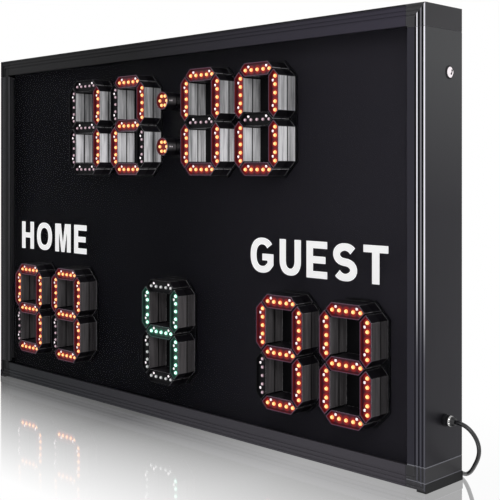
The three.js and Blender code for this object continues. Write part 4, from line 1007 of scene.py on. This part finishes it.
def colonLights(centres, driver, front, back):
    mesh = bmesh.new()
    layer = mesh.loops.layers.uv.new("flat")
    boardFace = front + lampShape["high"]
    stripBack = boardFace + digitShape["stripThick"]
    inner = colonShape["radius"] - digitShape["wall"] - digitShape["stripGap"]
    pitch = lampShape["pitch"]
    for centre in centres:
        strip = makePlate(mesh, ringPoints(centre, inner, colonShape["sides"]), boardFace, stripBack, 0)
        setFlat(layer, strip, lambda point: colonShape["stripPlace"])
        for place in ringPoints(centre, colonShape["ringRadius"], colonShape["lampCount"]):
            lamp = dome(mesh, place, boardFace, lampShape, 0)
            setFlat(layer, lamp, lambda point: (Vector((point.x, point.z)) - Vector(place)) / pitch)
        dome(mesh, Vector(centre) + Vector(colonShape["screwPlace"]), boardFace, colonShape["screw"], 3)
        half = digitShape["riser"] / 2
        riser = rectangleAround(centre, half, half, half / 4)
        makePlate(mesh, riser, stripBack, back, 2)
    makePlate(mesh, driver, back - digitShape["driverThick"], back, 2)
    newPiece("colon_lights", mesh, ["lit_red", "off_red", "dark_part", "screw_head"],
             ["colon_lamps"])


def makeColon():
    low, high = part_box("colon_housing")
    middle = ((low.x + high.x) / 2, (low.z + high.z) / 2)
    centres = [(middle[0], middle[1] + side * colonShape["halfGap"]) for side in (-1, 1)]
    radius, sides = colonShape["radius"], colonShape["sides"]
    outlineOf = [lambda margin, c=c: ringPoints(c, radius - margin, sides) for c in centres]
    housingPiece("colon", outlineOf, [True, True], "dimly_lit_wall", "red",
                 colonFlange(middle, digitShape["flangeMargin"]), low.y, high.y)
    lampLow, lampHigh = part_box("colon_lamps")
    colonLights(centres, colonFlange(middle, digitShape["driverMargin"]), lampLow.y, lampHigh.y)


makeColon()
print("colon made")

# studs on the right side of the colon's housings
colonStud = {"radius": 0.0019, "high": 0.0012, "sides": 12, "deeps": (0.0070, 0.0118), "sink": 0.0003}


def makeColonStuds(stud):
    low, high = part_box("colon_housing")
    middle = (low.z + high.z) / 2
    right = (low.x + high.x) / 2 + colonShape["radius"] - stud["sink"]
    mesh = bmesh.new()
    for side in (-1, 1):
        for deep in stud["deeps"]:
            place = Vector((right, low.y + deep, middle + side * colonShape["halfGap"]))
            roundHead(mesh, place, rightwards, stud)
    newPiece("colon_studs", mesh, ["screw_head"])


makeColonStuds(colonStud)

# ring round the gland's end, and dark rings and driver slots of the side bolts, from the board's side faces
sideFace = 0.6
glandRing = {
    "start": 0.0106, "end": 0.0130, "chamfer": 0.0019, "outer": 0.0088, "endOuter": 0.0077, "inner": 0.0066,
    "sides": 24,
}
boltDetails = {
    "outer": 0.0106, "inner": 0.0075, "thick": 0.0006, "sides": 24, "slotLong": 0.0080, "slotWide": 0.0024,
    "slotTurn": 20.0, "slotTop": 0.0047, "slotFoot": 0.0030,
}


def onSideFace(name, facing):
    low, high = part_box(name)
    return Vector((sideFace * facing.x, (low.y + high.y) / 2, (low.z + high.z) / 2))


def makeGlandRing(ring):
    profile = [(ring["inner"], ring["start"]), (ring["outer"], ring["start"]),
               (ring["outer"], ring["end"] - ring["chamfer"]), (ring["endOuter"], ring["end"]),
               (ring["inner"], ring["end"])]
    mesh = bmesh.new()
    sweepRings(mesh, turnedRings(onSideFace("gland_body", rightwards), rightwards, profile, ring["sides"]))
    smoothByAngle(newPiece("gland_ring", mesh, ["nickel"]))


def makeBoltDetails(size):
    inner, outer, thick = size["inner"], size["outer"], size["thick"]
    darkRing = [(inner, 0.0), (outer, 0.0), (outer, thick), (inner, thick)]
    turn = math.radians(size["slotTurn"])
    along = Vector((0, math.sin(turn), math.cos(turn))) * size["slotLong"] / 2
    aside = Vector((0, math.cos(turn), -math.sin(turn))) * size["slotWide"] / 2
    corners = (along + aside, along - aside, -along - aside, aside - along)
    for sideName, facing in (("left", -rightwards), ("right", rightwards)):
        centre = onSideFace(f"side_bolt_{sideName}", facing)
        mesh = bmesh.new()
        sweepRings(mesh, turnedRings(centre, facing, darkRing, size["sides"]))
        newPiece(f"bolt_dark_ring_{sideName}", mesh, ["foot_rubber"])
        mesh = bmesh.new()
        rings = [[centre + facing * reach + corner for corner in corners]
                 for reach in (size["slotFoot"], size["slotTop"])]
        sweepRings(mesh, rings, closed=False, caps=(True, True))
        newPiece(f"bolt_slot_{sideName}", mesh, ["dark_part"])


makeGlandRing(glandRing)
makeBoltDetails(boltDetails)

# screws round the rear panel
rearScrew = {"radius": 0.0042, "high": 0.0016, "sides": 12, "inset": 0.012, "across": 7, "up": 4}


def makeRearScrews(screw):
    low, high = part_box("rear_panel")
    left, right = low.x + screw["inset"], high.x - screw["inset"]
    foot, top = low.z + screw["inset"], high.z - screw["inset"]
    across, up = (right - left) / (screw["across"] - 1), (top - foot) / screw["up"]
    places = [(left + across * i, z) for i in range(screw["across"]) for z in (foot, top)]
    places += [(x, foot + up * i) for i in range(1, screw["up"]) for x in (left, right)]
    mesh = bmesh.new()
    for x, z in places:
        roundHead(mesh, Vector((x, high.y, z)), backwards, screw)
    newPiece("rear_screws", mesh, ["zinc"])


makeRearScrews(rearScrew)
print("fittings made")

# words cut from white film on the clear sheet
wordSetup = {
    "capHigh": 0.0615, "stem": 0.0146, "bar": 0.0118, "gap": 0.0125, "thick": 0.0002, "low": 0.3065,
    "steps": 14, "squareness": 2.3, "weld": 1e-6, "words": {"HOME": -0.391, "GUEST": 0.3765},
}
letterWidthShares = {"H": 0.80, "O": 0.97, "M": 0.96, "E": 0.74, "G": 0.94, "U": 0.80, "S": 0.82, "T": 0.80}
# shares of the stem, the bar, the height or half the width, and angles in degrees
letterShares = {
    "armShort": 0.25, "slantWide": 1.5, "slantFoot": 0.32, "slantHalf": 0.42, "slantInner": 0.74,
    "openFrom": 38, "openTo": 315, "spurOut": 1.93, "spurUp": 0.25, "spurLow": 0.46, "spurInner": 0.54,
    "bowlUp": 0.42, "bendFrom": 28, "bendSweep": 222,
}


def bar(x0, x1, z0, z1):
    return [(x0, z0), (x1, z0), (x1, z1), (x0, z1)]


def bowl(centre, halfWide, halfHigh, start, end, steps):
    # part of a slightly squared ellipse, angles in degrees
    power = 2 / wordSetup["squareness"]
    points = []
    for i in range(steps + 1):
        angle = math.radians(start + (end - start) * i / steps)
        across, up = math.cos(angle), math.sin(angle)
        points.append((centre[0] + halfWide * math.copysign(abs(across) ** power, across),
                       centre[1] + halfHigh * math.copysign(abs(up) ** power, up)))
    return points


def band(outer, inner):
    # quads between two lines of points
    return [[a, b, d, c] for a, b, c, d in zip(outer, outer[1:], inner, inner[1:])]


def strokeAlong(line, widths):
    outer, inner = [], []
    for i, (here, width) in enumerate(zip(line, widths)):
        before, after = Vector(line[max(i - 1, 0)]), Vector(line[min(i + 1, len(line) - 1)])
        forward = (after - before).normalized()
        side = Vector((-forward.y, forward.x)) * width / 2
        outer.append(tuple(Vector(here) + side))
        inner.append(tuple(Vector(here) - side))
    return band(outer, inner)


def letterShapes(letter, wide, shares):
    # flat pieces of one letter, with its left foot at the origin
    high, stem, thin = wordSetup["capHigh"], wordSetup["stem"], wordSetup["bar"]
    steps = wordSetup["steps"]
    half, mid = wide / 2, high / 2
    low, top = mid - thin / 2, mid + thin / 2
    if letter == "H":
        return [bar(0, stem, 0, high), bar(wide - stem, wide, 0, high), bar(stem, wide - stem, low, top)]
    if letter == "E":
        reach = wide - stem * shares["armShort"]
        return [bar(0, stem, 0, high), bar(stem, wide, 0, thin), bar(stem, wide, high - thin, high),
                bar(stem, reach, low, top)]
    if letter == "T":
        return [bar(0, wide, high - thin, high), bar(half - stem / 2, half + stem / 2, 0, high - thin)]
    if letter == "M":
        slant = [(stem, high), (stem * shares["slantWide"], high), (half, high * shares["slantFoot"]),
                 (half, 0), (half - stem * shares["slantHalf"], 0), (stem, high * shares["slantInner"])]
        mirrored = [(wide - x, z) for x, z in reversed(slant)]
        return [bar(0, stem, 0, high), bar(wide - stem, wide, 0, high), slant, mirrored]
    if letter == "O":
        outer = bowl((half, mid), half, mid, 0, 360, 3 * steps)
        inner = bowl((half, mid), half - stem, mid - thin, 0, 360, 3 * steps)
        return band(outer, inner)
    if letter == "G":
        outer = bowl((half, mid), half, mid, shares["openFrom"], shares["openTo"], 2 * steps)
        inner = bowl((half, mid), half - stem, mid - thin, shares["openFrom"], shares["openTo"], 2 * steps)
        right = half * shares["spurOut"]
        shoulder = mid + thin * shares["spurUp"]
        spur = [inner[-1], outer[-1], (right, mid * shares["spurLow"]), (right, shoulder),
                (right - stem, shoulder), (right - stem, mid * shares["spurInner"])]
        return band(outer, inner) + [spur, bar(half, right - stem, shoulder - thin, shoulder)]
    if letter == "U":
        turn = high * shares["bowlUp"]
        outer = [(0, high)] + bowl((half, turn), half, turn, 180, 360, 2 * steps) + [(wide, high)]
        inner = [(stem, high)] + bowl((half, turn), half - stem, turn - thin, 180, 360, 2 * steps)
        return band(outer, inner + [(wide - stem, high)])
    # what is left is the S: its upper bend, and the same turned half round
    rise = (mid - thin / 2) / 2
    reach = half - stem / 2
    angles = [math.radians(shares["bendFrom"] + shares["bendSweep"] * i / steps) for i in range(steps + 1)]
    line = [(half + reach * math.cos(a), mid + rise + rise * math.sin(a)) for a in angles]
    widths = [thin + (stem - thin) * abs(math.cos(a)) for a in angles]
    line += [(wide - x, high - z) for x, z in reversed(line)]
    return strokeAlong(line, widths + widths[::-1])


def makeWord(word, centreX, setup):
    wides = [letterWidthShares[letter] * setup["capHigh"] for letter in word]
    left = centreX - (sum(wides) + setup["gap"] * (len(word) - 1)) / 2
    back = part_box("front_sheet")[0].y
    mesh = bmesh.new()
    for letter, wide in zip(word, wides):
        for shape in letterShapes(letter, wide, letterShares):
            mesh.faces.new([mesh.verts.new((left + x, back, setup["low"] + z)) for x, z in shape])
        left += wide + setup["gap"]
    bmesh.ops.remove_doubles(mesh, verts=mesh.verts, dist=setup["weld"])
    grown = bmesh.ops.extrude_face_region(mesh, geom=mesh.faces[:])["geom"]
    bmesh.ops.translate(mesh, verts=[v for v in grown if isinstance(v, bmesh.types.BMVert)],
                        vec=(0, -setup["thick"], 0))
    newPiece(f"word_{word.lower()}", mesh, ["white_film"])


for word, centreX in wordSetup["words"].items():
    makeWord(word, centreX, wordSetup)
print("words made")

# white surroundings, and a floor whose mirror image of the board fades to white
stageSetup = {
    "size": 60.0, "mirror": 0.89, "mirrorNear": 0.08, "mirrorReach": 0.45, "floorColour": grey(0.86),
    "mirrorLeft": -0.08, "mirrorRight": 0.36, "mirrorWeak": 0.72, "mirrorTone": grey(0.95),
    "mirrorRoughness": 0.05, "aim": (0, 0, 0.37),
    "worldLevel": 0.62, "keyPower": 26.0, "keySize": 1.6, "keyPlace": (2.2, -2.6, 2.6),
    "fillPower": 9.0, "fillSize": 2.0, "fillPlace": (-2.4, -2.4, 1.8),
}


def seenByEye(tree):
    # 1 for what the camera sees, also in a mirror or through a clear part
    path = tree.nodes.new("ShaderNodeLightPath").outputs
    other = mathNode(tree, "MAXIMUM", path["Is Glossy Ray"], path["Is Transmission Ray"])
    return mathNode(tree, "MAXIMUM", path["Is Camera Ray"], other)


def makeWorld(setup):
    world = bpy.data.worlds.new("studio")
    bpy.context.scene.world = world
    world.use_nodes = True
    tree = world.node_tree
    tree.nodes.clear()
    extra = product(tree, seenByEye(tree), 1 - setup["worldLevel"])
    level = mathNode(tree, "ADD", extra, setup["worldLevel"])
    light = addNode(tree, "ShaderNodeBackground", Color=grey(1), Strength=level)
    output = tree.nodes.new("ShaderNodeOutputWorld")
    tree.links.new(light.outputs[0], output.inputs[0])


def makeFloor(setup):
    mesh = bmesh.new()
    half = setup["size"] / 2
    corners = [(-half, -half), (half, -half), (half, half), (-half, half)]
    mesh.faces.new([mesh.verts.new((x, y, 0)) for x, y in corners])
    data = bpy.data.meshes.new("floor")
    mesh.to_mesh(data)
    mesh.free()
    floor = bpy.data.objects.new("floor", data)
    bpy.context.collection.objects.link(floor)
    material, tree = emptyMaterial("floor")
    place = splitNode(tree, objectPlace(tree))
    away = mathNode(tree, "ABSOLUTE", place["Y"])
    near = rampNode(tree, away, setup["mirrorNear"], setup["mirrorReach"], setup["mirror"], 0.0)
    aside = rampNode(tree, place["X"], setup["mirrorLeft"], setup["mirrorRight"], 1.0, setup["mirrorWeak"])
    white = addNode(tree, "ShaderNodeEmission", Color=grey(1), Strength=1.0)
    matt = addNode(tree, "ShaderNodeBsdfDiffuse", Color=setup["floorColour"])
    mirror = addNode(
        tree, "ShaderNodeBsdfGlossy", Color=setup["mirrorTone"], Roughness=setup["mirrorRoughness"])
    shown = addNode(tree, "ShaderNodeMixShader", i0=product(tree, near, aside), i1=white.outputs[0],
                    i2=mirror.outputs[0])
    whole = addNode(tree, "ShaderNodeMixShader", i0=seenByEye(tree), i1=matt.outputs[0], i2=shown.outputs[0])
    output = tree.nodes.new("ShaderNodeOutputMaterial")
    tree.links.new(whole.outputs[0], output.inputs[0])
    data.materials.append(material)


def makeLight(name, setup):
    place = Vector(setup[f"{name}Place"])
    data = bpy.data.lights.new(name, "AREA")
    data.shape = "DISK"
    data.size = setup[f"{name}Size"]
    data.energy = setup[f"{name}Power"]
    light = bpy.data.objects.new(name, data)
    light.location = place
    light.rotation_euler = (Vector(setup["aim"]) - place).to_track_quat("-Z", "Y").to_euler()
    bpy.context.collection.objects.link(light)


makeWorld(stageSetup)
makeFloor(stageSetup)
makeLight("key", stageSetup)
makeLight("fill", stageSetup)
bpy.context.scene.view_settings.view_transform = "Standard"
print("stage made")
